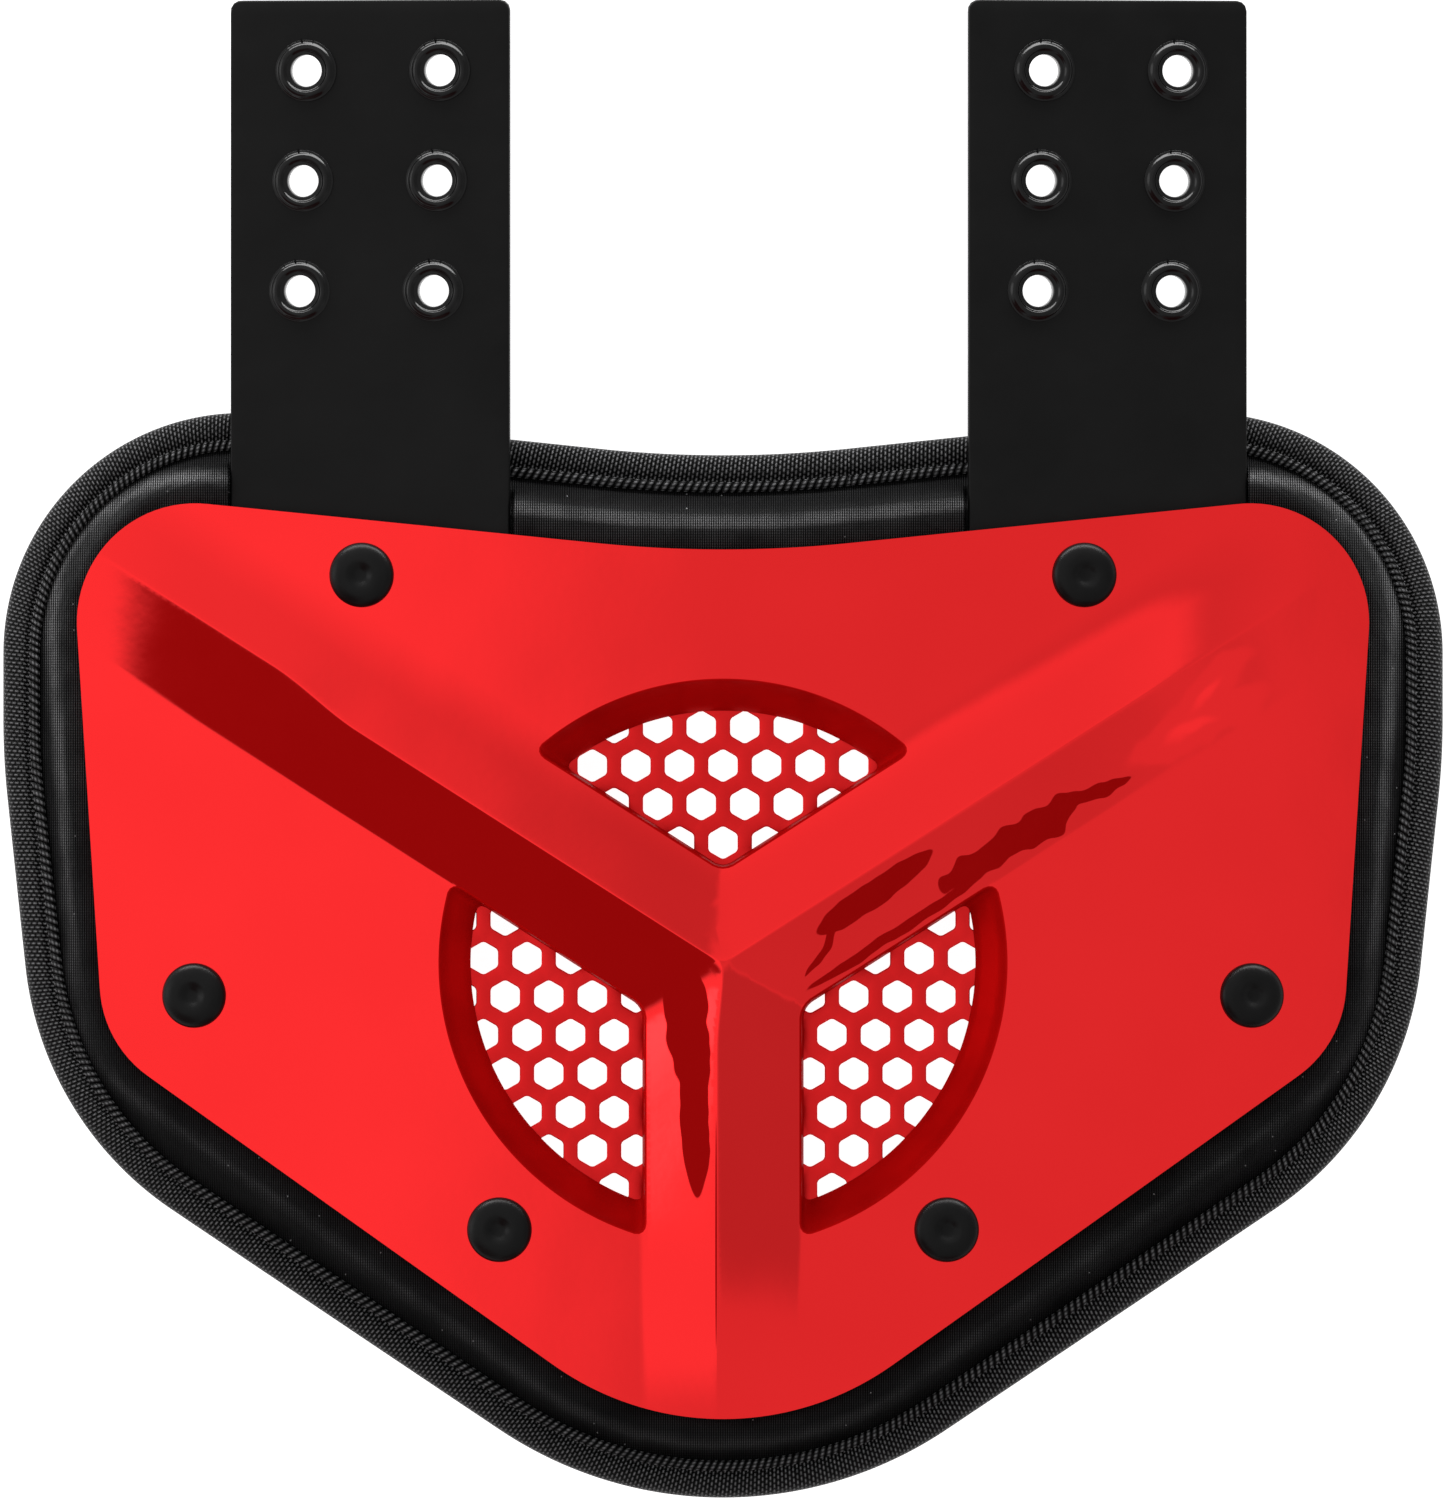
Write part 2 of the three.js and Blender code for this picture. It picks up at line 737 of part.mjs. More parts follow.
function makeStrap(strap) {
  const half = strapWidth / 2;
  const places = eyeletPlaces(strap);
  const bandTop = places.at(-1).y - eyeletFlange / 2 - strapClearDrop;
  const bandFoot = bandTop - strapClear;
  const holeRadius = eyeletBore / 2 + eyeletWall + gap;
  const top = [new THREE.Vector2(-half, bandTop), new THREE.Vector2(half, bandTop)];
  for (const side of [1, -1]) {
    const turnFrom = side > 0 ? 0 : Math.PI / 2;
    const centre = new THREE.Vector2(side * (half - strapCorner), strap.top - strapCorner);
    for (let step = 0; step <= strapCornerSteps; step++) {
      const angle = turnFrom + ((step / strapCornerSteps) * Math.PI) / 2;
      const arm = new THREE.Vector2(Math.cos(angle), Math.sin(angle));
      top.push(arm.multiplyScalar(strapCorner).add(centre));
    }
  }
  const rivet = rivets.find((each) => each.strap === strap);
  const rivetAxis = rivetStand(rivet).position.applyMatrix4(strapStand(strap).matrix.invert());
  const rivetHole = roundHole(rivetAxis.x, rivet.y, rivetShank / 2 + gap);
  const band = [
    new THREE.Vector2(-half, bandFoot),
    new THREE.Vector2(half, bandFoot),
    top[1],
    top[0],
  ];
  const foot = [
    new THREE.Vector2(-half, strap.foot),
    new THREE.Vector2(half, strap.foot),
    band[1],
    band[0],
  ];
  return tiledSheet(
    [
      { outline: top, holes: places.map(({ x, y }) => roundHole(x, y, holeRadius)) },
      { outline: band, holes: [] },
      { outline: foot, holes: [rivetHole] },
    ],
    strapThickness,
  );
}

function makeEyelet() {
  const bore = eyeletBore / 2;
  const barrel = bore + eyeletWall;
  const flange = eyeletFlange / 2;
  const backFlange = eyeletBackFlange / 2;
  const front = strapThickness + gap;
  const rows = [
    [bore, -gap - eyeletBackRise],
    [backFlange, -gap - eyeletBackRise],
    [backFlange, -gap],
    [barrel, -gap],
    [barrel, front],
    [flange, front],
    [flange - eyeletRise, front + eyeletRise],
    [bore, front + eyeletRise / 2],
    [bore, -gap - eyeletBackRise],
  ];
  return turned(rows, roundSides);
}

function makeRivet(rivet) {
  const head = rivetHead / 2;
  const back = -rivet.depth;
  const rows = [
    [0, back + gap],
    [rivetFoot / 2, back + gap],
    [rivetFoot / 2, back + gap + rivetFootThickness],
    [rivetShank / 2, back + gap + rivetFootThickness],
    [rivetShank / 2, gap],
    ...rivetHeadRows.map(({ across, rise }) => [across * head, gap + rise * rivetHeadRise]),
  ];
  return turned(rows, roundSides);
}

// The assembly

function named(name, geometry, finish) {
  const mesh = new THREE.Mesh(geometry, finish.clone());
  mesh.name = name;
  return mesh;
}

const backPlate = new THREE.Group();
backPlate.add(named("back_pad", makeBackPad(), finishes.foam));
backPlate.add(named("edge_binding", makeEdgeBinding(), finishes.tape));
backPlate.add(named("face_plate", makeFacePlate(), finishes.redGloss));
backPlate.add(named("vent_grille", makeGrille(), finishes.redGloss));

for (const strap of straps) {
  const stand = strapStand(strap);
  stand.add(named("strap_" + strap.name, makeStrap(strap), finishes.strap));
  eyeletPlaces(strap).forEach(({ x, y }, i) => {
    const eyelet = named("eyelet_" + strap.name + "_" + (i + 1), makeEyelet(), finishes.eyelet);
    eyelet.position.set(x, y, 0);
    stand.add(eyelet);
  });
  backPlate.add(stand);
}

for (const rivet of rivets) {
  const stand = rivetStand(rivet);
  stand.add(named(rivet.name, makeRivet(rivet), finishes.rivet));
  backPlate.add(stand);
}

// The origin is in the middle of the foot of the whole object
const bounds = new THREE.Box3().setFromObject(backPlate, true);
const middle = bounds.getCenter(new THREE.Vector3());
backPlate.position.set(-middle.x, -middle.y, -bounds.min.z);

export default backPlate;
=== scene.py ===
import math

import bmesh
import bpy
import numpy as np
from mathutils import Matrix, Vector, geometry


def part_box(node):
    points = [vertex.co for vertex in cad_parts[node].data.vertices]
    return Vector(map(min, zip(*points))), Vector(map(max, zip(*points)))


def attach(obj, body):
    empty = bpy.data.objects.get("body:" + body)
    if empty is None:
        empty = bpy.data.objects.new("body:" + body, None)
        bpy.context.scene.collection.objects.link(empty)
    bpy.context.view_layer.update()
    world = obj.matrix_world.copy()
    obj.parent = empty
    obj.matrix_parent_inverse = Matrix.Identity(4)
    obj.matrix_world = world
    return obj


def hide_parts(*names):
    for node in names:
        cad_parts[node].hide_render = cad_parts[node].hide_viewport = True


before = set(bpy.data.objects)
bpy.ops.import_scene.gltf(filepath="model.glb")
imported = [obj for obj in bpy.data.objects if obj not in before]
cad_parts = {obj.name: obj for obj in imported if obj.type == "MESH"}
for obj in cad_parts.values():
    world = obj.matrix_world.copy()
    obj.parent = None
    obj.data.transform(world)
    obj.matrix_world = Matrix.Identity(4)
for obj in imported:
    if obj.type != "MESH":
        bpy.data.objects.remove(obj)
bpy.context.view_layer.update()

# Sizes are in millimetres. Plan places are taken from the hub, where the arms of the Y meet, and
# levels from the pad's back before the layers are bent over the arch.
MM = 0.001
GAP = 0.3

# The arch
ARCH_RADIUS = 560
ARCH_STEP = 30

# Face plate
PLATE_WIDTH = 297.6
PLATE_HEIGHT = 225.6
PLATE_THICKNESS = 2.6
PLATE_EDGE_ROUND = 0.8

# The rows of an outline's right half: across in half widths, up in heights, radius in widths
PLATE_ROWS = ((0, 0.409, 0.951), (1, 0.476, 0.0907), (0.946, -0.082, 0.0874), (0, -0.524, 0.2235))

# The raised Y. Each arm ends at a line across the plate, given by its direction and distance.
# Its crest leans to one side towards its end, and the light on its sides fades out over a length
ARM_HALF_WIDTH = 17.8
RIDGE_HEIGHT = 10.5
RIDGE_FALL = 0.34
CREST_ROUND = 0.25
CREST_FLAT = 0.25
ARM_UNION = 0.8
HUB_UNION_LEFT = 2.2
HUB_UNION_RIGHT = 0.4
BASE_CRISP = 0.35
BASE_SOFT = 2.4
ARMS = (
    {"angle": 32.5, "length": 155, "tip": (1, 0), "reach": 138.5, "fade": 13,
     "glow_reach": 138.5, "glow": 52, "lean": 0, "lean_from": 0, "lean_to": 1},
    {"angle": 147.5, "length": 155, "tip": (-1, 0), "reach": 138.5, "fade": 13,
     "glow_reach": 161, "glow": 46, "lean": -2.2, "lean_from": 98, "lean_to": 122},
    {"angle": 270, "length": 103, "tip": (0, -1), "reach": 105, "fade": 22,
     "glow_reach": 108, "glow": 52, "lean": -1.3, "lean_from": 0, "lean_to": 20},
)

# Windows
RIM_RADIUS = 64
DISH_SLOPE = 7
WINDOW_DEPTH = 9
WINDOW_WALL = 2
WINDOW_EDGE_ROUND = 0.5
WALL_LEAN = 0.5

# Grille
GRILLE_THICKNESS = 2
HOLE_PITCH = 9.88
ROW_PITCH = 8.73
HOLE_WIDTH = 6.6
HOLE_HEIGHT = 7.6
FIRST_ROW_UP = 44.77

# Foam pad
PAD_THICKNESS = 12
SIDE_MARGIN = 15.2
END_MARGIN = 22.6
FLANGE_THICKNESS = 3.4
BEAD_HEIGHT = 1.2
PAD_ROWS = (
    (0, 0.42, 0.817), (1, 0.4838, 0.1665), (1, 0.1713, 0.515), (0.946, -0.1344, 0.2323),
    (0, -0.5162, 0.2787),
)

# Edge binding
TAPE_WIDTH = 8.5
TAPE_THICKNESS = 1

# Straps
STRAP_WIDTH = 64
STRAP_THICKNESS = 2.5
STRAP_SPACING = 166.8
STRAP_SHIFT = 3.6
STRAP_REACH = 117.7
STRAP_TUCK = 38
STRAP_CORNER = 2.3

# Eyelets
EYELET_COLUMNS = 30.7
EYELET_ROWS = 25
EYELET_ROW_COUNT = 3
EYELET_TOP = 16
EYELET_LEAN = 1.7
EYELET_BORE = 7.2
EYELET_WALL = 0.7

# Rivets
RIVET_HEAD = 14.7
RIVET_RISE = 2.6
RIVET_SHANK = 5
RIVET_FOOT = 15
RIVET_FOOT_THICKNESS = 1.4
STRAP_RIVET_DROP = 12.6
STRAP_RIVET_SPACING = 163.8
SIDE_RIVET_INSET = 28.8
SIDE_RIVET_DROP = 7.4
LOW_RIVET_OUT = 14.8
LOW_RIVET_ANGLE = 50

# Levels
PLATE_SEAT = PAD_THICKNESS + GAP
PLATE_TOP = PLATE_SEAT + PLATE_THICKNESS
GRILLE_TOP = PLATE_TOP - WINDOW_DEPTH
GRILLE_BOTTOM = GRILLE_TOP - GRILLE_THICKNESS
DISH_FLOOR = GRILLE_TOP + GAP
VENT_RADIUS = RIM_RADIUS + WINDOW_WALL + GAP
FLANGE_BOTTOM = TAPE_THICKNESS + GAP
FLANGE_TOP = FLANGE_BOTTOM + FLANGE_THICKNESS
TAPE_FRONT = FLANGE_TOP + GAP

# The hub and the pad's back, from the grille's place in the frame
grille_low, grille_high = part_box("vent_grille")
HUB = np.array([
    (grille_low.x + grille_high.x) / 2 / MM,
    (grille_low.y + grille_high.y) / 2 / MM,
    grille_low.z / MM - GRILLE_BOTTOM,
])


# Meshes

class Skin:
    """The points and faces of one closed mesh, in millimetres from the hub."""

    def __init__(self):
        self.points = []
        self.faces = []

    def add(self, points):
        start = len(self.points)
        self.points.extend(np.asarray(points, float).tolist())
        return np.arange(start, len(self.points))

    def band(self, near, far):
        """Faces between two closed rings with the same number of points."""
        count = len(near)
        for i in range(count):
            j = (i + 1) % count
            self.faces.append((int(near[i]), int(near[j]), int(far[j]), int(far[i])))

    def cap(self, ring):
        """One face through all the points of a ring."""
        self.faces.append(tuple(int(i) for i in ring))

    def lay(self, points, levels):
        """Plan points at their levels, or all at one level."""
        return self.add(np.column_stack([points, np.broadcast_to(levels, len(points))]))

    def follow(self, ring, points, levels):
        """A further ring, joined to the last one."""
        ahead = self.lay(points, levels)
        self.band(ring, ahead)
        return ahead

    def triangles(self, places, triangles):
        for a, b, c in triangles:
            self.faces.append((int(places[a]), int(places[b]), int(places[c])))


def add_object(name, data):
    made = bpy.data.objects.new(name, data)
    bpy.context.scene.collection.objects.link(made)
    return made


def make_piece(name, skin, material, place=None):
    """A smooth shaded object on the root body. Its points are already where it stands."""
    points = np.array(skin.points)
    if place is not None:
        points = points @ np.array(place.to_3x3()).T + np.array(place.translation)
    mesh = bpy.data.meshes.new(name)
    mesh.from_pydata(((points + HUB) * MM).tolist(), [], skin.faces)
    shape = bmesh.new()
    shape.from_mesh(mesh)
    bmesh.ops.recalc_face_normals(shape, faces=shape.faces)
    shape.to_mesh(mesh)
    shape.free()
    mesh.polygons.foreach_set("use_smooth", [True] * len(mesh.polygons))
    mesh.materials.append(material)
    piece = add_object(name, mesh)
    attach(piece, "root")
    return piece


def is_inside(points, loop):
    """Whether each plan point lies inside a closed loop."""
    x, y = points[:, :1], points[:, 1:2]
    x0, y0 = loop[:, 0], loop[:, 1]
    x1, y1 = np.roll(x0, -1), np.roll(y0, -1)
    rises = np.where(y1 == y0, 1, y1 - y0)
    crossed = ((y0 > y) != (y1 > y)) & (x < x0 + (y - y0) / rises * (x1 - x0))
    return np.count_nonzero(crossed, axis=1) % 2 == 1


def within(points, loops):
    """Whether each plan point lies inside the first loop and outside the others."""
    inside = is_inside(points, loops[0])
    for loop in loops[1:]:
        inside &= ~is_inside(points, loop)
    return inside


# Points that are compared with others at a time
CHUNK = 400


def nearest_squared(points, others):
    """Squared distance of each plan point to the nearest of the others."""
    found = []
    for part in np.array_split(points, max(1, len(points) // CHUNK)):
        apart = part[:, None, :] - others[None, :, :]
        found.append((apart ** 2).sum(axis=2).min(axis=1))
    return np.concatenate(found)


def spread(points, loops, others, distance):
    """The points inside the loops' area that are further than a distance from all the others."""
    points = points[within(points, loops)]
    return points[nearest_squared(points, np.concatenate(others)) > distance ** 2]


def triangulate(loops, inner, lines=()):
    """Triangles over the area inside the first loop and outside the others, through the inner
    points and along the lines. Returns all the points and the triangles; the loops come first."""
    edges = []
    start = 0
    for loop in loops:
        count = len(loop)
        edges += [(start + i, start + (i + 1) % count) for i in range(count)]
        start += count
    points = np.concatenate([*loops, inner, *lines]) if len(inner) else np.concatenate(loops)
    start += len(inner)
    for line in lines:
        edges += [(start + i, start + i + 1) for i in range(len(line) - 1)]
        start += len(line)
    coords = [Vector(point) for point in points]
    found = geometry.delaunay_2d_cdt(coords, edges, [], 0, 1e-5, True)
    places = np.array([[point.x, point.y] for point in found[0]])
    triangles = np.array(found[2])
    kept = triangles[within(places[triangles].mean(axis=1), loops)]
    origin = {source: i for i, sources in enumerate(found[3]) for source in sources}
    rings = []
    start = 0
    for loop in loops:
        rings.append(np.array([origin[start + i] for i in range(len(loop))]))
        start += len(loop)
    return places, kept, rings


def grid(step, half_width, half_height):
    """A staggered grid of plan points."""
    rows = []
    for i, y in enumerate(np.arange(-half_height, half_height, step * math.sqrt(3) / 2)):
        x = np.arange(-half_width, half_width, step) + (i % 2) * step / 2
        rows.append(np.stack([x, np.full_like(x, y)], axis=1))
    return np.concatenate(rows)


def quarter_round(radius, steps=3):
    """Rows of inset and drop round an edge, from the top face to the side."""
    turns = [math.pi / 2 * i / steps for i in range(steps + 1)]
    return [(radius * (1 - math.sin(turn)), radius * (1 - math.cos(turn))) for turn in turns]


# The bend

def arch(x):
    return np.sqrt(ARCH_RADIUS ** 2 - np.asarray(x, float) ** 2) - ARCH_RADIUS


def strip_start(x):
    """Where the flat strip of the bend that x lies in starts, as the hard pieces are seated."""
    return (math.floor(x / ARCH_STEP - 0.5) + 0.5) * ARCH_STEP


def strip_slope(x):
    start = strip_start(x)
    return float(arch(start + ARCH_STEP) - arch(start)) / ARCH_STEP


def strip_height(x):
    start = strip_start(x)
    return float(arch(start)) + strip_slope(x) * (x - start)


def stand(x, y, level, slope):
    """The place of a piece that stands square to a slope of the bend."""
    turn = Matrix.Rotation(math.atan(-slope), 4, "Y")
    return Matrix.Translation((x, y, level + strip_height(x))) @ turn


# Outlines

class Loop:
    """A closed line of plan points, with unit directions from it into the material."""

    def __init__(self, points, hole=False):
        self.points = np.asarray(points, float)
        along = np.roll(self.points, -1, axis=0) - np.roll(self.points, 1, axis=0)
        along /= np.linalg.norm(along, axis=1, keepdims=True)
        left = np.stack([-along[:, 1], along[:, 0]], axis=1)
        area = np.sum(self.points[:, 0] * np.roll(self.points[:, 1], -1))
        area -= np.sum(self.points[:, 1] * np.roll(self.points[:, 0], -1))
        self.inward = left * (1 if (area > 0) != hole else -1)

    def inset(self, distance):
        return self.points + self.inward * distance


def evenly(points, step):
    """A closed line of points at even steps."""
    closed = np.concatenate([points, points[:1]])
    lengths = np.linalg.norm(np.diff(closed, axis=0), axis=1)
    run = np.concatenate([[0], np.cumsum(lengths)])
    count = round(run[-1] / step)
    stops = np.linspace(0, run[-1], count, endpoint=False)
    return np.stack([np.interp(stops, run, closed[:, k]) for k in (0, 1)], axis=1)


def softened(points, reach):
    """Rounds the corners of an evenly spaced closed line, by the mean of its neighbours."""
    total = points.copy()
    for shift in range(1, reach + 1):
        total += np.roll(points, shift, axis=0) + np.roll(points, -shift, axis=0)
    return total / (2 * reach + 1)


def outline(rows, width, height, step):
    """Points at even steps round an outline given by the rows of its right half."""
    half = [(across * width / 2, up * height, radius * width) for across, up, radius in rows]
    left = [(-x, y, radius) for x, y, radius in half[1:-1]]
    corners = [half[0], *left, half[-1], *reversed(half[1:-1])]
    points = []
    for i, (x, y, radius) in enumerate(corners):
        place = Vector((x, y))
        back = (Vector(corners[i - 1][:2]) - place).normalized()
        ahead = (Vector(corners[(i + 1) % len(corners)][:2]) - place).normalized()
        inward = (back + ahead).normalized()
        half_sine = abs(inward.cross(ahead))
        centre = place + inward * (radius / half_sine)
        turn = (math.pi - 2 * math.asin(half_sine)) * (1 if ahead.cross(back) > 0 else -1)
        middle = math.atan2(-inward.y, -inward.x)
        for share in np.linspace(-0.5, 0.5, 2 + int(abs(turn) * radius)):
            angle = middle + turn * share
            points.append((centre.x + radius * math.cos(angle), centre.y + radius * math.sin(angle)))
    return evenly(np.array(points), step)


def circle(x, y, radius, count):
    turns = np.linspace(0, 2 * math.pi, count, endpoint=False)
    return np.stack([x + radius * np.cos(turns), y + radius * np.sin(turns)], axis=1)


def round_hole(x, y, radius, count):
    return Loop(circle(x, y, radius, count), hole=True)


plate_loop = Loop(outline(PLATE_ROWS, PLATE_WIDTH, PLATE_HEIGHT, 2))
pad_width = PLATE_WIDTH + 2 * SIDE_MARGIN
pad_height = PLATE_HEIGHT + 2 * END_MARGIN


def pad_outline(step):
    return Loop(outline(PAD_ROWS, pad_width, pad_height, step))


def plate_top_edge(x):
    """Height of the plate's top edge over the hub, at one place across it."""
    above = plate_loop.points[plate_loop.points[:, 1] > 0]
    order = np.argsort(above[:, 0])
    return float(np.interp(x, above[order, 0], above[order, 1]))


# Straps and rivets: where they stand

SHANK_RADIUS = RIVET_SHANK / 2 + GAP


def shank_holes(count):
    return [round_hole(rivet["x"], rivet["y"], SHANK_RADIUS, count) for rivet in RIVETS]


def strap_facts(side):
    x = STRAP_SHIFT + side * STRAP_SPACING / 2
    edge = plate_top_edge(STRAP_SPACING / 2)
    left = strip_height(x - STRAP_WIDTH / 2)
    right = strip_height(x + STRAP_WIDTH / 2)
    bulge = strip_height(x) - (left + right) / 2
    return {
        "side": "left" if side < 0 else "right",
        "x": x,
        "top": edge + STRAP_REACH,
        "foot": edge - STRAP_TUCK,
        "seat": PLATE_SEAT - GAP - bulge - STRAP_THICKNESS,
        "slope": (right - left) / STRAP_WIDTH,
    }


STRAPS = [strap_facts(-1), strap_facts(1)]


def rivet_facts():
    facts = []
    low_radius = RIM_RADIUS + LOW_RIVET_OUT
    turn = math.radians(LOW_RIVET_ANGLE)
    for side, strap in zip((-1, 1), STRAPS):
        strap_x = side * STRAP_RIVET_SPACING / 2
        side_x = side * (PLATE_WIDTH / 2 - SIDE_RIVET_INSET)
        low_x = side * low_radius * math.cos(turn)
        places = (
            ("strap", strap_x, plate_top_edge(strap_x) - STRAP_RIVET_DROP, strap["slope"]),
            ("side", side_x, -SIDE_RIVET_DROP, strip_slope(side_x)),
            ("low", low_x, -low_radius * math.sin(turn), strip_slope(low_x)),
        )
        for kind, x, y, slope in places:
            name = "rivet_" + kind + "_" + strap["side"]
            depth = PLATE_TOP * math.cos(math.atan(slope))
            facts.append({"name": name, "x": x, "y": y, "slope": slope, "depth": depth})
    return facts


RIVETS = rivet_facts()


# Materials

SHINE = "Specular IOR Level"


class Graph:
    """The nodes of a material or of the world."""

    def __init__(self, owner):
        owner.use_nodes = True
        self.nodes = owner.node_tree.nodes
        self.links = owner.node_tree.links

    def put(self, socket, value):
        """Sets a socket to a constant, or links another node's output to it."""
        if isinstance(value, bpy.types.NodeSocket):
            self.links.new(value, socket)
        else:
            socket.default_value = value

    def add(self, kind, inputs, output=0, **settings):
        """A new node's output. Its inputs go by name or place."""
        made = self.nodes.new(kind)
        for key, value in settings.items():
            setattr(made, key, value)
        for key, value in inputs.items():
            self.put(made.inputs[key], value)
        return made.outputs[output]

    def paint(self, inputs):
        """Sets the inputs of the material's shader."""
        for name, value in inputs.items():
            self.put(self.nodes["Principled BSDF"].inputs[name], value)

    def maths(self, operation, *values):
        return self.add("ShaderNodeMath", dict(enumerate(values)), operation=operation)

    def place(self, kind="Object"):
        return self.add("ShaderNodeTexCoord", {}, kind)

    def split(self, vector):
        """The X and Y of a vector."""
        x = self.add("ShaderNodeSeparateXYZ", {"Vector": vector}, "X")
        return x, x.node.outputs["Y"]

    def noise(self, place, size, detail=2.0, output="Fac"):
        """Noise with features of about one size, in millimetres."""
        inputs = {"Vector": place, "Scale": 1 / (size * MM), "Detail": detail}
        return self.add("ShaderNodeTexNoise", inputs, output)

    def between(self, value, low, high, ends=(0, 1), **settings):
        """A value that goes from one end to the other as the given value goes from low to high."""
        inputs = {"Value": value, "From Min": low, "From Max": high, "To Min": ends[0],
                  "To Max": ends[1]}
        return self.add("ShaderNodeMapRange", inputs, "Result", **settings)

    def colours(self, factor, dark, light):
        """A colour between two, by a factor."""
        colour = self.add("ShaderNodeValToRGB", {"Fac": factor}, "Color")
        ends = colour.node.color_ramp.elements
        ends[0].color, ends[1].color = (*dark, 1), (*light, 1)
        return colour

    def bumps(self, *heights):
        """The normal after bumps of heights and their depths in millimetres, one on the other."""
        inputs = {}
        for height, depth in heights:
            inputs.update({"Strength": 1.0, "Distance": depth * MM, "Height": height})
            inputs["Normal"] = self.add("ShaderNodeBump", inputs)
        return inputs["Normal"]


# Plain finishes: size and detail of the colour's noise, dark and light, size, detail and range of
# the roughness, size, detail and depth of the bumps, and what is constant
FINISHES = {
    # Metallic red lacquer over moulded plastic, with faint waves and fine dust
    "red_gloss": ((60, 2), (0.82, 0.021, 0.0225), (0.93, 0.027, 0.029), (9, 6, 0.09, 0.16),
                  ((30, 1, 0.55), (2.2, 1, 0.012)), {"Metallic": 1.0}),
    # The same lacquer in a darker copy on the walls and rounded lips of the windows: painted shade,
    # since they get little light
    "red_shade": ((12, 3), (0.3, 0.0015, 0.0015), (0.5, 0.003, 0.003), None, ((9, 2, 0.3),),
                  {"Metallic": 0.15, "Roughness": 0.3, SHINE: 0.0}),
    # The moulded red of the grille: the same lacquer, less polished
    "red_mesh": ((30, 2), (0.6, 0.011, 0.012), (0.74, 0.016, 0.018), (4, 5, 0.28, 0.4),
                 ((0.8, 3, 0.01),), {"Metallic": 0.95}),
    # Satin black plastic with a faint cloudy surface and fine scuffs
    "strap_plastic": ((24, 4), (0.001, 0.001, 0.001), (0.0045, 0.0045, 0.0045),
                      (6, 8, 0.38, 0.56), ((16, 2, 0.25), (0.5, 3, 0.012)), {SHINE: 0.1}),
    # Black enamelled metal
    "eyelet_black": ((3, 4), (0.0015, 0.0015, 0.0016), (0.004, 0.004, 0.004), (3, 4, 0.07, 0.2),
                     ((1.4, 2, 0.025),), {SHINE: 0.19}),
    # Satin black moulded plastic
    "rivet_black": ((5, 4), (0.0015, 0.0015, 0.0016), (0.004, 0.004, 0.004), (5, 4, 0.26, 0.4),
                    ((0.6, 3, 0.015),), {SHINE: 0.11}),
    # A pale table, lit a little from below as a light table is
    "pale_floor": ((400, 3), (0.6, 0.6, 0.6), (0.64, 0.64, 0.64), None, (),
                   {"Roughness": 0.8, SHINE: 0.1, "Emission Color": (1, 1, 1, 1),
                    "Emission Strength": 0.95}),
}


def finish(name):
    tone, dark, light, rough, bumps, constants = FINISHES[name]
    material = bpy.data.materials.new(name)
    graph = Graph(material)
    place = graph.place()
    inputs = {"Base Color": graph.colours(graph.noise(place, *tone), dark, light), **constants}
    if rough:
        cloud = graph.noise(place, *rough[:2])
        inputs["Roughness"] = graph.between(cloud, 0, 1, rough[2:])
    if bumps:
        heights = [(graph.noise(place, size, detail), depth) for size, detail, depth in bumps]
        inputs["Normal"] = graph.bumps(*heights)
    graph.paint(inputs)
    return material


# Ripples of the lacquer on the sides of the Y, which mirror another part of the room: middle, half
# length, half width and direction of each, the slope of the surface there, the share of its width
# over which it fades, and how far its outline wanders
LEFT_DIP = (-0.375, -0.42)
RIGHT_DIP = (0.317, -0.7)
GLINT = (-0.08, -0.01)
RIPPLE_GRAIN = 8
RIPPLE_EDGE = 1.04
RIPPLES = (
    (-8, -13.5, 18.5, 4.9, 95, LEFT_DIP, 0.1, 2.4),
    (-6.7, -33, 20, 3.3, 93, LEFT_DIP, 0.1, 1.8),
    (-1.55, -62, 32, 0.24, 90, LEFT_DIP, 0.5, 0),
    (34.2, 15.9, 16.5, 3, 34.6, RIGHT_DIP, 0.1, 3),
    (39.5, 7.2, 25, 1.3, 33, RIGHT_DIP, 0.15, 1.6),
    (22.6, 3.6, 8, 1, 62, RIGHT_DIP, 0.2, 3),
    (66, 27.5, 20, 4.2, 34, RIGHT_DIP, 0.1, 8),
    (81, 37, 13, 2, 22, RIGHT_DIP, 0.15, 6),
    (109.3, 61, 16, 4.5, 44, GLINT, 0.95, 5),
    (106, 53, 22, 5, 27, GLINT, 0.9, 5),
)


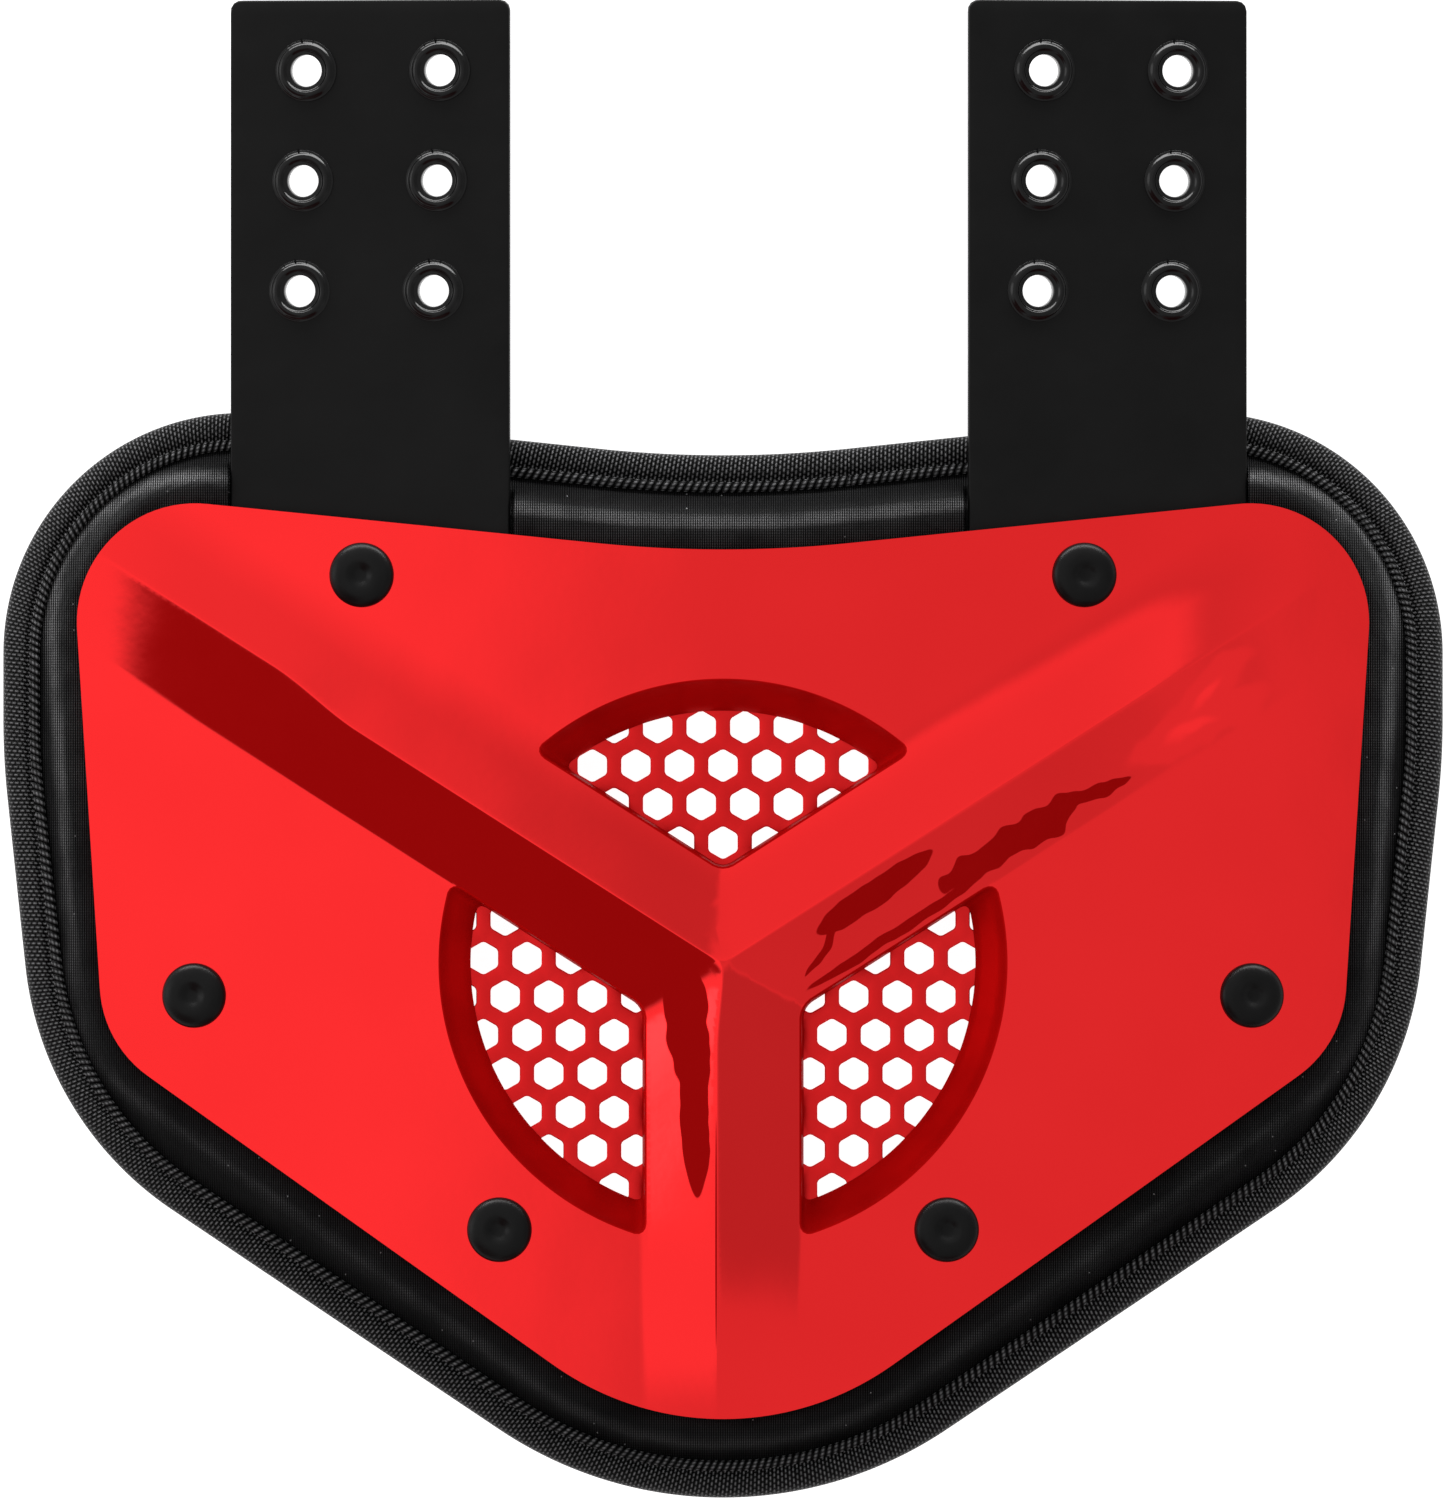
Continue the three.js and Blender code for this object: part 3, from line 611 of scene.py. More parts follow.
def rippled(material):
    """Tilts the normal of the gloss to each ripple's slope, inside that ripple's outline."""
    graph = Graph(material)
    place = graph.place()
    jitter = graph.noise(place, RIPPLE_GRAIN, 1.0, "Color")
    socket = graph.nodes["Principled BSDF"].inputs["Normal"]
    normal = socket.links[0].from_socket
    for x, y, long, wide, angle, slope, fade, sway in RIPPLES:
        shaken = graph.add("ShaderNodeVectorMath", {0: jitter, 1: (sway * MM, sway * MM, 0),
                                                    2: place}, operation="MULTIPLY_ADD")
        middle = (HUB[:2] + (x + sway / 2, y + sway / 2)) * MM
        area = graph.add("ShaderNodeMapping", {
            "Location": (*middle, 0), "Rotation": (0, 0, math.radians(angle)),
            "Scale": (long * MM, wide * MM, 1), "Vector": shaken}, vector_type="TEXTURE")
        reach = graph.add("ShaderNodeVectorMath", {0: area}, "Value", operation="LENGTH")
        share = graph.between(reach, RIPPLE_EDGE, RIPPLE_EDGE - fade,
                              interpolation_type="SMOOTHSTEP")
        tilt = Vector((*slope, 1)).normalized()
        normal = graph.add("ShaderNodeMix", {0: share, 4: normal, 5: tilt}, 1,
                           data_type="VECTOR")
    graph.put(socket, graph.add("ShaderNodeVectorMath", {0: normal}, operation="NORMALIZE"))
    return material


# The knit: width of a wale, height of a loop, how far the loops' V reaches, and how much the loops
# stand out from the wales
WALE = 0.52
KNIT_LOOP = 0.6
LOOP_SLANT = 2.8
LOOP_RELIEF = 0.14
LINT_SPACING = 7.0
LINT_SIZE = 0.022


def knit_fabric():
    """Black knit: fine wales that run up the pad, each of small V-shaped loops, with specks of lint,
    darker in its hollows (painted shade) and paler along the rim's crest (painted sheen)."""
    material = bpy.data.materials.new("pad_knit")
    graph = Graph(material)
    maths = graph.maths
    place = graph.place()
    x, y = graph.split(place)
    ribs = maths("ABSOLUTE", maths("SINE", maths("MULTIPLY", x, math.pi / (WALE * MM))))
    up = maths("MULTIPLY", y, 2 * math.pi / (KNIT_LOOP * MM))
    loops = maths("SINE", maths("MULTIPLY_ADD", ribs, LOOP_SLANT, up))
    height = maths("MULTIPLY_ADD", loops, LOOP_RELIEF, ribs)
    cloud = graph.noise(place, 8, 5)
    # A painted sheen: the pad's per-point attribute lightens the colour along the rim's crest
    stretch = graph.add("ShaderNodeAttribute", {}, "Fac", attribute_name="stretch")
    strength = maths("MULTIPLY", maths("MULTIPLY_ADD", stretch, 0.92, 0.06),
                     maths("MULTIPLY", cloud, 2))
    # The colour follows the knit's relief and is near black in the hollows between wales and loops:
    # painted shade
    shade = maths("MULTIPLY", maths("POWER", height, 3.2), strength)
    lint = graph.add("ShaderNodeTexVoronoi", {"Vector": place, "Scale": 1 / (LINT_SPACING * MM)},
                     "Distance", voronoi_dimensions="2D")
    rare = graph.split(lint.node.outputs["Color"])[0]
    speck = maths("MULTIPLY", maths("LESS_THAN", lint, LINT_SIZE),
                  maths("GREATER_THAN", rare, 0.75))
    graph.paint({
        "Base Color": graph.colours(maths("MULTIPLY_ADD", speck, 3.0, shade),
                                    (0.0008, 0.0008, 0.0009), (0.115, 0.115, 0.117)),
        "Roughness": 0.6, SHINE: 0.03, "Normal": graph.bumps((cloud, 0.5), (height, 0.14)),
    })
    return material


# The tape's weave: width of a rib, length of a pick, slant of the ribs, and the roped inner hem's
# twist, slant, strands and width
RIB = 0.92
PICK = 1.3
RIB_SLANT = 0.12
ROPE = 1.7
ROPE_SLANT = 0.45
STRAND = 0.9
HEM_WIDTH = 3.2


def tape_weave():
    """Black woven tape: ribs across it, each of short staggered picks, and a roped inner hem."""
    material = bpy.data.materials.new("binding_tape")
    graph = Graph(material)
    maths = graph.maths

    def wave(value, turn):
        return maths("ABSOLUTE", maths("SINE", maths("MULTIPLY", value, turn)))

    along, across = graph.split(graph.place("UV"))
    rib = maths("DIVIDE", maths("MULTIPLY_ADD", across, RIB_SLANT, along), RIB)
    odd = maths("MULTIPLY", maths("MODULO", maths("FLOOR", rib), 2.0), 0.5)
    picks = wave(maths("ADD", maths("DIVIDE", across, PICK), odd), math.pi)
    weave = maths("MULTIPLY", wave(rib, math.pi), maths("POWER", picks, 0.35))
    ropes = wave(maths("MULTIPLY_ADD", across, ROPE_SLANT, along), math.pi / ROPE)
    strands = wave(across, math.pi / STRAND)
    hem = maths("MULTIPLY", ropes, maths("MULTIPLY_ADD", strands, 0.35, 0.65))
    inside = maths("LESS_THAN", across, HEM_WIDTH)
    height = maths("ADD", maths("MULTIPLY", inside, hem),
                   maths("MULTIPLY", maths("SUBTRACT", 1.0, inside), weave))
    fuzz = graph.noise(graph.place(), 1.1, 4)
    # The colour follows the weave's height and is near black in its hollows: painted shade between
    # the threads
    shade = maths("MULTIPLY", maths("POWER", height, 4.2), maths("MULTIPLY", fuzz, 2))
    graph.paint({
        "Base Color": graph.colours(shade, (0.0004, 0.0004, 0.0004), (0.115, 0.115, 0.118)),
        "Roughness": 0.45, SHINE: 0.05, "Normal": graph.bumps((height, 0.5)),
    })
    return material


# Face plate

def smooth_step(value, low, high):
    share = np.clip((value - low) / (high - low), 0, 1)
    return share * share * (3 - 2 * share)


def crest_lean(arm, along):
    """How far an arm's crest stands off its middle line."""
    return arm["lean"] * smooth_step(along, arm["lean_from"], arm["lean_to"])


def arm_place(arm, x, y):
    """How far a place is along an arm's middle line and to its left."""
    turn = math.radians(arm["angle"])
    along = x * math.cos(turn) + y * math.sin(turn)
    return along, -x * math.sin(turn) + y * math.cos(turn)


def arm_rise(arm, x, y):
    """Height of one arm over the plate, running on below it past the arm's foot."""
    along, across = arm_place(arm, x, y)
    across = np.where(along > 0, across, np.copysign(np.hypot(along, across), across))
    lean = crest_lean(arm, along)
    off = across - lean
    half = ARM_HALF_WIDTH - np.sign(off) * lean
    crest = RIDGE_HEIGHT * (1 - RIDGE_FALL * np.clip(along / arm["length"], 0, 1))
    return crest * (1 - np.sqrt(off ** 2 + CREST_ROUND ** 2) / half)


def kept(arm, x, y, reach, length):
    """Share that is left of an arm near its end, where it fades out over a length."""
    return smooth_step(reach - x * arm["tip"][0] - y * arm["tip"][1], 0, length)


def soft_max(a, b, blend):
    near = np.maximum(blend - np.abs(a - b), 0)
    return np.maximum(a, b) + near ** 2 / (4 * blend)


def ridge(x, y, ended=True):
    """Height of the raised Y above the plate's surface, where asked with the arms' ends."""
    x = np.asarray(x, float)
    y = np.asarray(y, float)
    upper = y - np.abs(x) * math.tan(math.radians(ARMS[0]["angle"]))
    blend = BASE_CRISP + (BASE_SOFT - BASE_CRISP) * smooth_step(upper, 0, 8)
    rises = []
    for arm in ARMS:
        share = kept(arm, x, y, arm["reach"], arm["fade"]) if ended else 1
        rises.append(arm_rise(arm, x, y) * share - blend * (1 - share))
    hub_union = HUB_UNION_LEFT + (HUB_UNION_RIGHT - HUB_UNION_LEFT) * smooth_step(x, -2, 3)
    union = soft_max(soft_max(rises[0], rises[1], ARM_UNION), rises[2], hub_union)
    return soft_max(union, np.zeros_like(union), blend)


def glow(x, y):
    """How much of the Y's slopes the gloss shows: less towards the ends of its arms."""
    highest = np.argmax([arm_rise(arm, x, y) for arm in ARMS], axis=0)
    shares = [kept(arm, x, y, arm["glow_reach"], arm["glow"]) for arm in ARMS]
    return np.choose(highest, shares)


def plate_surface(x, y):
    return PLATE_TOP + arch(x) + ridge(x, y)


# How far an arm stands over the others where its own grid starts, and points along a window's
# straight and round sides
ARM_CLEAR = 0.12
STRAIGHT_POINTS = 40
ROUND_POINTS = 90


def arm_grid(arm, along_step, acrosses):
    turn = math.radians(arm["angle"])
    alongs = np.arange(along_step, arm["length"] + 12, along_step)
    rows = []
    for across in acrosses:
        aside = across + crest_lean(arm, alongs) * max(0, 1 - abs(across) / ARM_HALF_WIDTH)
        x = alongs * math.cos(turn) - aside * math.sin(turn)
        y = alongs * math.sin(turn) + aside * math.cos(turn)
        rows.append(np.stack([x, y], axis=1))
    points = np.concatenate(rows)
    own = arm_rise(arm, points[:, 0], points[:, 1])
    others = [arm_rise(other, points[:, 0], points[:, 1]) for other in ARMS if other is not arm]
    return points[own > np.max(others, axis=0) + ARM_CLEAR]


def window_loops(radius, clear):
    """The three windows' outlines at one level: two sides along the arms and a round one."""
    loops = []
    for i, arm in enumerate(ARMS):
        after = ARMS[(i + 1) % 3]
        start = math.radians(arm["angle"])
        end = math.radians(after["angle"] + (360 if after["angle"] < arm["angle"] else 0))
        half = (end - start) / 2
        corner = clear / math.sin(half)
        inner = np.array([math.cos(start + half), math.sin(start + half)]) * corner
        lean = math.asin(clear / radius)
        turns = np.linspace(start + lean, end - lean, ROUND_POINTS, endpoint=False)
        round_side = np.stack([np.cos(turns), np.sin(turns)], axis=1) * radius
        last = np.array([math.cos(end - lean), math.sin(end - lean)]) * radius
        out = np.linspace(inner, round_side[0], STRAIGHT_POINTS, endpoint=False)
        back = np.linspace(last, inner, STRAIGHT_POINTS, endpoint=False)
        loops.append(softened(np.concatenate([out, round_side, back]), 2))
    return loops


# Where the rows of points along an arm lie off its middle line: on the plate's front, beyond the
# upper arms' soft feet, and on its back. Then the step between the points of the crests' lines
TOP_ACROSS = (0.6, 1, 1.6, 2.5, 4, 6, 9, 12, 14.5, 16, 16.8, 17.4, 17.8, 18.3, 19.2)
FOOT_ACROSS = (21, 23.5, 26)
BACK_ACROSS = (2, 5, 9, 13, 16, 19)
CREST_STEP = 1.5


def make_face_plate(material, wall_material):
    skin = Skin()
    rims = [Loop(points, hole=True) for points in window_loops(RIM_RADIUS, ARM_HALF_WIDTH)]
    floor_radius = RIM_RADIUS - DISH_SLOPE
    feet = [Loop(points, hole=True)
            for points in window_loops(floor_radius, ARM_HALF_WIDTH + WALL_LEAN)]
    shanks = [shank.points for shank in shank_holes(24)]

    # The side that shows
    top_loops = [plate_loop.inset(PLATE_EDGE_ROUND)]
    top_loops += [rim.inset(WINDOW_EDGE_ROUND) for rim in rims] + shanks
    lines = []
    for arm in ARMS:
        turn = math.radians(arm["angle"])
        way = np.array([math.cos(turn), math.sin(turn)])
        reach = (arm["reach"] - 1) / abs(float(way @ np.array(arm["tip"])))
        alongs = np.arange(CREST_STEP, reach, CREST_STEP)[:, None]
        for side in (-1, 1):
            aside = crest_lean(arm, alongs) + side * CREST_FLAT
            lines.append(alongs * way + aside * (-way[1], way[0]))
    grids = [arm_grid(arm, 2, sorted({*TOP_ACROSS, *[-a for a in TOP_ACROSS]})) for arm in ARMS]
    grids += [arm_grid(ARMS[0], 3, FOOT_ACROSS), arm_grid(ARMS[1], 3, [-a for a in FOOT_ACROSS])]
    fine = spread(np.concatenate(grids), top_loops, [*top_loops, *lines], 0.2)
    coarse = grid(4, PLATE_WIDTH / 2, PLATE_HEIGHT)
    coarse = spread(coarse, top_loops, [*top_loops, fine, *lines], 2.2)
    places, triangles, rings = triangulate(
        top_loops, np.concatenate([fine, coarse, [[0.0, 0.0]]]), lines)
    top = skin.lay(places, plate_surface(places[:, 0], places[:, 1]))
    skin.triangles(top, triangles)
    top_rings = [top[ring] for ring in rings]

    # The back, which follows the front, with walls 2 mm thick round the windows
    back_loops = [plate_loop.inset(PLATE_EDGE_ROUND / 2)]
    back_loops += [rim.inset(WINDOW_WALL) for rim in rims] + shanks
    grids = [arm_grid(arm, 5, [*BACK_ACROSS, *[-a for a in BACK_ACROSS]]) for arm in ARMS]
    inner = spread(np.concatenate(grids), back_loops, [*back_loops, *lines], 1.2)
    coarse = grid(9, PLATE_WIDTH / 2, PLATE_HEIGHT)
    coarse = spread(coarse, back_loops, [*back_loops, inner, *lines], 4)
    spines = [line[::3] for line in lines[::2]]
    places, triangles, rings = triangulate(
        back_loops, np.concatenate([inner, coarse, [[0.0, 0.0]]]), spines)
    back = skin.lay(places, plate_surface(places[:, 0], places[:, 1]) - PLATE_THICKNESS)
    skin.triangles(back, triangles)
    back_rings = [back[ring] for ring in rings]

    # The outer edge
    edge_from = len(skin.points)
    ring = top_rings[0]
    for inset, drop in quarter_round(PLATE_EDGE_ROUND, 4)[1:]:
        points = plate_loop.inset(inset)
        ring = skin.follow(ring, points, plate_surface(points[:, 0], points[:, 1]) - drop)
    edge_to = len(skin.points)
    points = plate_loop.points
    level = plate_surface(points[:, 0], points[:, 1]) - PLATE_THICKNESS + PLATE_EDGE_ROUND / 2
    skin.band(skin.follow(ring, points, level), back_rings[0])

    # The walls of the windows
    walls_from = len(skin.faces)
    for i, (rim, foot) in enumerate(zip(rims, feet)):
        ring = top_rings[1 + i]
        for inset, drop in quarter_round(WINDOW_EDGE_ROUND)[1:]:
            points = rim.inset(inset)
            level = plate_surface(points[:, 0], points[:, 1]) - drop
            ring = skin.follow(ring, points, level)
        for share in (0.35, 0.7, 0.95):
            places = points + (foot.points - points) * share
            ring = skin.follow(ring, places, level + (DISH_FLOOR - level) * share)
        for inset in (0.25, WINDOW_WALL):
            ring = skin.follow(ring, foot.inset(inset), DISH_FLOOR)
        skin.band(ring, back_rings[1 + i])
    walls_to = len(skin.faces)
    for upper, lower in zip(top_rings[4:], back_rings[4:]):
        skin.band(upper, lower)

    plate = make_piece("face_plate_gloss", skin, material)
    # The windows' walls and lips take the darker copy of the lacquer, which is painted shade
    plate.data.materials.append(wall_material)
    for polygon in plate.data.polygons[walls_from:walls_to]:
        polygon.material_index = 1
    shade_by_surface(plate, [*range(len(top)), *range(edge_from, edge_to)])
    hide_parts("face_plate")


def shade_by_surface(plate, shown_points):
    """Shades some of the plate's points by the slopes of the arch and of the Y's sides."""
    mesh = plate.data
    normals = np.array([vertex.normal[:] for vertex in mesh.vertices])
    points = np.array([mesh.vertices[i].co[:] for i in shown_points]) / MM - HUB
    x, y = points[:, 0], points[:, 1]
    step = 0.05
    shown = glow(x, y)
    slope_x = (ridge(x + step, y, False) - ridge(x - step, y, False)) / (2 * step) * shown
    slope_y = (ridge(x, y + step, False) - ridge(x, y - step, False)) / (2 * step) * shown
    slope_x += (arch(x + step) - arch(x - step)) / (2 * step)
    exact = np.column_stack([-slope_x, -slope_y, np.ones(len(points))])
    exact /= np.linalg.norm(exact, axis=1, keepdims=True)
    normals[shown_points] = exact
    mesh.normals_split_custom_set_from_vertices(normals.tolist())


# Sheets with holes, flat on both sides

def flat_sheet(skin, outer, holes, low, high, edge, inner=(), lift=None):
    """A sheet between two levels with rounded edges. Its surfaces rise by lift at each place."""
    loops = [outer, *holes]
    rise = lift if lift is not None else (lambda x, y: np.zeros_like(x))
    flat = [loop.inset(edge) for loop in loops]
    inner = np.asarray(inner, float).reshape(-1, 2)
    if len(inner):
        inner = spread(inner, flat, flat, 1.0)
    places, triangles, rings = triangulate(flat, inner)
    lifts = rise(places[:, 0], places[:, 1])
    top = skin.lay(places, high + lifts)
    under = skin.lay(places, low + lifts)
    skin.triangles(top, triangles)
    skin.triangles(under, triangles[:, ::-1])
    rows = quarter_round(edge)
    for loop, ring in zip(loops, rings):
        near = top[ring]
        sides = [(inset, high - drop) for inset, drop in rows[1:]]
        sides += [(inset, low + drop) for inset, drop in reversed(rows[1:])]
        for inset, level in sides:
            points = loop.inset(inset)
            near = skin.follow(near, points, level + rise(points[:, 0], points[:, 1]))
        skin.band(near, under[ring])


# Grille

def hexagon(x, y):
    half, shoulder = HOLE_WIDTH / 2, HOLE_HEIGHT / 4
    corners = np.array([
        (0, 2 * shoulder), (-half, shoulder), (-half, -shoulder),
        (0, -2 * shoulder), (half, -shoulder), (half, shoulder),
    ])
    return softened(evenly(corners + (x, y), HOLE_WIDTH / 12), 1)


def off_arm(arm, x, y):
    along, across = arm_place(arm, x, y)
    return math.inf if along < 0 else abs(across)


def hole_places():
    radius = VENT_RADIUS - 2 * GAP
    showing = RIM_RADIUS - DISH_SLOPE + HOLE_HEIGHT / 2
    first = math.ceil((-radius - FIRST_ROW_UP) / ROW_PITCH)
    last = math.floor((radius - FIRST_ROW_UP) / ROW_PITCH)
    columns = math.ceil(radius / HOLE_PITCH)
    for row in range(first, last + 1):
        y = FIRST_ROW_UP + row * ROW_PITCH
        for column in range(-columns, columns + 1):
            x = (column + (0.5 if row % 2 else 0)) * HOLE_PITCH
            nearest = min(off_arm(arm, x, y) for arm in ARMS)
            if math.hypot(x, y) <= showing and nearest >= ARM_HALF_WIDTH - HOLE_WIDTH / 2:
                yield x, y


def make_grille(material):
    skin = Skin()
    outer = Loop(circle(0, 0, VENT_RADIUS - 2 * GAP, 160))
    holes = [Loop(hexagon(x, y), hole=True) for x, y in hole_places()]
    flat_sheet(skin, outer, holes, GRILLE_BOTTOM, GRILLE_TOP, 0.25)
    grille = make_piece("vent_grille_mesh", skin, material)
    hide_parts("vent_grille")


# Turned pieces

def turned(skin, rows, sides, x=0.0, y=0.0, closed=False):
    """A turned form from rows of radius and level: capped, or closed on itself like a tyre."""
    rings = [skin.lay(circle(x, y, radius, sides), level) for radius, level in rows]
    for near, far in zip(rings, rings[1:]):
        skin.band(near, far)
    if closed:
        skin.band(rings[-1], rings[0])
    else:
        skin.cap(rings[0])
        skin.cap(rings[-1])


def rounded_rows(rows, steps=4):
    """A profile through all its rows, smoothed between them."""
    points = np.array(rows, float)
    ends = np.concatenate([points[:1] * 2 - points[1:2], points, points[-1:] * 2 - points[-2:-1]])
    curve = []
    for p0, p1, p2, p3 in zip(ends, ends[1:], ends[2:], ends[3:]):
        for t in np.linspace(0, 1, steps, endpoint=False):
            curve.append(0.5 * (2 * p1 + (p2 - p0) * t + (2 * p0 - 5 * p1 + 4 * p2 - p3) * t ** 2
                                + (3 * p1 - p0 - 3 * p2 + p3) * t ** 3))
    curve.append(points[-1])
    return curve


# A rivet's head from its rim to the dent in its middle, as shares of its radius and rise
RIVET_HEAD_ROWS = (
    (1, 0.06), (0.985, 0.3), (0.93, 0.55), (0.82, 0.78), (0.66, 0.94), (0.5, 1), (0.4, 0.97),
    (0.3, 0.86), (0.18, 0.7), (0.03, 0.64),
)


def make_rivet(rivet, material):
    skin = Skin()
    back = -rivet["depth"] + GAP
    foot = RIVET_FOOT / 2
    rows = [
        (0.1, back), (foot - 0.4, back), (foot, back + 0.3), (foot, back + RIVET_FOOT_THICKNESS),
        (RIVET_SHANK / 2, back + RIVET_FOOT_THICKNESS), (RIVET_SHANK / 2, GAP),
        (RIVET_HEAD / 2 - 0.15, GAP),
    ]
    head = [(across * RIVET_HEAD / 2, GAP + rise * RIVET_RISE) for across, rise in RIVET_HEAD_ROWS]
    turned(skin, rows + list(rounded_rows(head, 3)), 72)
    place = stand(rivet["x"], rivet["y"], PLATE_TOP, rivet["slope"])
    piece = make_piece(rivet["name"] + "_head", skin, material, place)
    sharpen(piece, 50)
    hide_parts(rivet["name"])


def sharpen(piece, degrees):
    """Keeps the edges that turn by more than an angle crisp."""
    piece.data.set_sharp_from_angle(angle=math.radians(degrees))


# An eyelet's front from the bore outwards: radius, and height above the strap
EYELET_ROWS_FRONT = (
    (3.62, 0.2), (3.78, 0.34), (4.1, 0.4), (4.42, 0.48), (4.68, 0.7), (4.92, 0.94), (5.2, 1.04),
    (5.55, 1.01), (5.9, 0.84), (6.2, 0.58), (6.45, 0.34), (6.7, 0.2), (6.95, 0.15), (7.02, 0.05),
)


def eyelet_places(strap):
    for row in range(EYELET_ROW_COUNT):
        y = strap["top"] - EYELET_TOP - row * EYELET_ROWS
        shift = ((EYELET_ROW_COUNT - 1) / 2 - row) * EYELET_ROWS
        shift *= math.tan(math.radians(EYELET_LEAN))
        for side in (-1, 1):
            yield shift + side * EYELET_COLUMNS / 2, y


# Flecks left by the moulding on an eyelet's rim: direction in degrees and size
NIBS = ((98, 0.7), (76, 0.4), (122, 0.35))


def nib(skin, x, y, angle, size):
    """A small spike that points outwards from an eyelet's rim."""
    way = np.array([math.cos(angle), math.sin(angle), 0])
    side = np.array([-way[1], way[0], 0]) * size * 0.4
    foot = np.array([x, y, STRAP_THICKNESS + 0.35]) + way * 6.8
    rise = np.array([0, 0, size * 0.6])
    ring = skin.add([foot + side, foot + rise, foot - side, foot - rise * 0.3])
    tip = skin.add([foot + way * size + rise * 0.5])[0]
    for i in range(4):
        skin.faces.append((int(ring[i]), int(ring[(i + 1) % 4]), int(tip)))
    skin.cap(ring)


def make_eyelet(name, x, y, strap, material):
    skin = Skin()
    front = [(radius, STRAP_THICKNESS + height) for radius, height in EYELET_ROWS_FRONT]
    barrel = EYELET_BORE / 2 + EYELET_WALL
    rows = [
        *rounded_rows(front, 3), (6.9, STRAP_THICKNESS + 0.05), (barrel, STRAP_THICKNESS + 0.05),
        (barrel, -GAP), (6.1, -GAP), (6.2, -0.6), (6.0, -0.95), (5.6, -1.1), (3.9, -1.1),
        (3.62, -0.8),
    ]
    turned(skin, rows, 64, x, y, closed=True)
    for angle, size in NIBS:
        nib(skin, x, y, math.radians(angle), size)
    place = stand(strap["x"], 0, strap["seat"], strap["slope"])
    piece = make_piece(name + "_ring", skin, material, place)
    sharpen(piece, 60)
    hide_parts(name)


STRAP_EDGE_ROUND = 0.45
WAVE_HEIGHT = 0.12
WAVE_SINK = 0.06


def strap_wave(x, y):
    """The strap's surface isn't quite flat."""
    return WAVE_HEIGHT * np.sin(y / 19 + x / 40) * np.cos(x / 23) - WAVE_SINK


def make_strap(strap, material):
    skin = Skin()
    half = STRAP_WIDTH / 2
    corners = []
    for side, end in ((1, "top"), (-1, "top"), (-1, "foot"), (1, "foot")):
        radius = STRAP_CORNER if end == "top" else 1
        up = 1 if end == "top" else -1
        centre = np.array([side * (half - radius), strap[end] - up * radius])
        start = {(1, 1): 0, (-1, 1): 90, (-1, -1): 180, (1, -1): 270}[(side, up)]
        for turn in np.radians(np.linspace(start, start + 90, 6)):
            corners.append(centre + radius * np.array([math.cos(turn), math.sin(turn)]))
    outer = Loop(evenly(np.array(corners), 1.2))
    hole = EYELET_BORE / 2 + EYELET_WALL + GAP
    holes = [round_hole(x, y, hole, 40) for x, y in eyelet_places(strap)]
    place = stand(strap["x"], 0, strap["seat"], strap["slope"])
    rivet = next(r for r in RIVETS if r["name"] == "rivet_strap_" + strap["side"])
    base = stand(rivet["x"], rivet["y"], PLATE_TOP, rivet["slope"]).translation
    local = place.inverted() @ base
    holes.append(round_hole(local.x, rivet["y"], SHANK_RADIUS, 24))
    middle = (strap["top"] + strap["foot"]) / 2
    inner = grid(4, half, (strap["top"] - strap["foot"]) / 2) + (0, middle)

    flat_sheet(skin, outer, holes, 0, STRAP_THICKNESS, STRAP_EDGE_ROUND, inner, strap_wave)
    piece = make_piece("strap_" + strap["side"] + "_sheet", skin, material, place)
    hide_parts("strap_" + strap["side"])


# Foam pad

# The pad's front from the binding to the top of the puffed rim: distance and share of the rise
FOAM_ROWS = ((-2, 0), (0, 0.02), (1.2, 0.2), (2.4, 0.52), (3.6, 0.78), (4.8, 0.94), (6, 1))
BEAD_OFFSET = 5
BEAD_WIDTH = 4.5

# Where a sheen is painted on the knit along the rim's crest, from the plate's edge, and how much
# of it is painted between the crest and the plate and at the pad's foot
SHEEN_OFFSET = 5.9
SHEEN_WIDTH = 1.3
SHEEN_NEAR = 0.18
SHEEN_LOW = 0.2

# Width of the step into a strap's channel, and points round a rivet's shank
CHANNEL_STEP = 0.22
SHANK_POINTS = 16


def foam_level(points, pad_edge, plate_edge):
    """Level of the pad's front at each plan point, without the straps' channels."""
    inset = np.sqrt(nearest_squared(points, pad_edge)) - TAPE_WIDTH
    outside = np.sqrt(nearest_squared(points, plate_edge))
    under = is_inside(points, plate_edge)
    distances, shares = zip(*FOAM_ROWS)
    rise = np.interp(inset, distances, shares)
    top = PAD_THICKNESS + BEAD_HEIGHT * np.exp(-((outside - BEAD_OFFSET) / BEAD_WIDTH) ** 2)
    top = np.where(under, PAD_THICKNESS - 0.1, top - 0.1 * np.exp(-outside))
    return FLANGE_TOP + (top - FLANGE_TOP) * rise


def strap_under(x, strap):
    """Level of a strap's back over the unbent layers."""
    return strap["seat"] + strip_height(strap["x"]) + strap["slope"] * (x - strap["x"]) - arch(x)


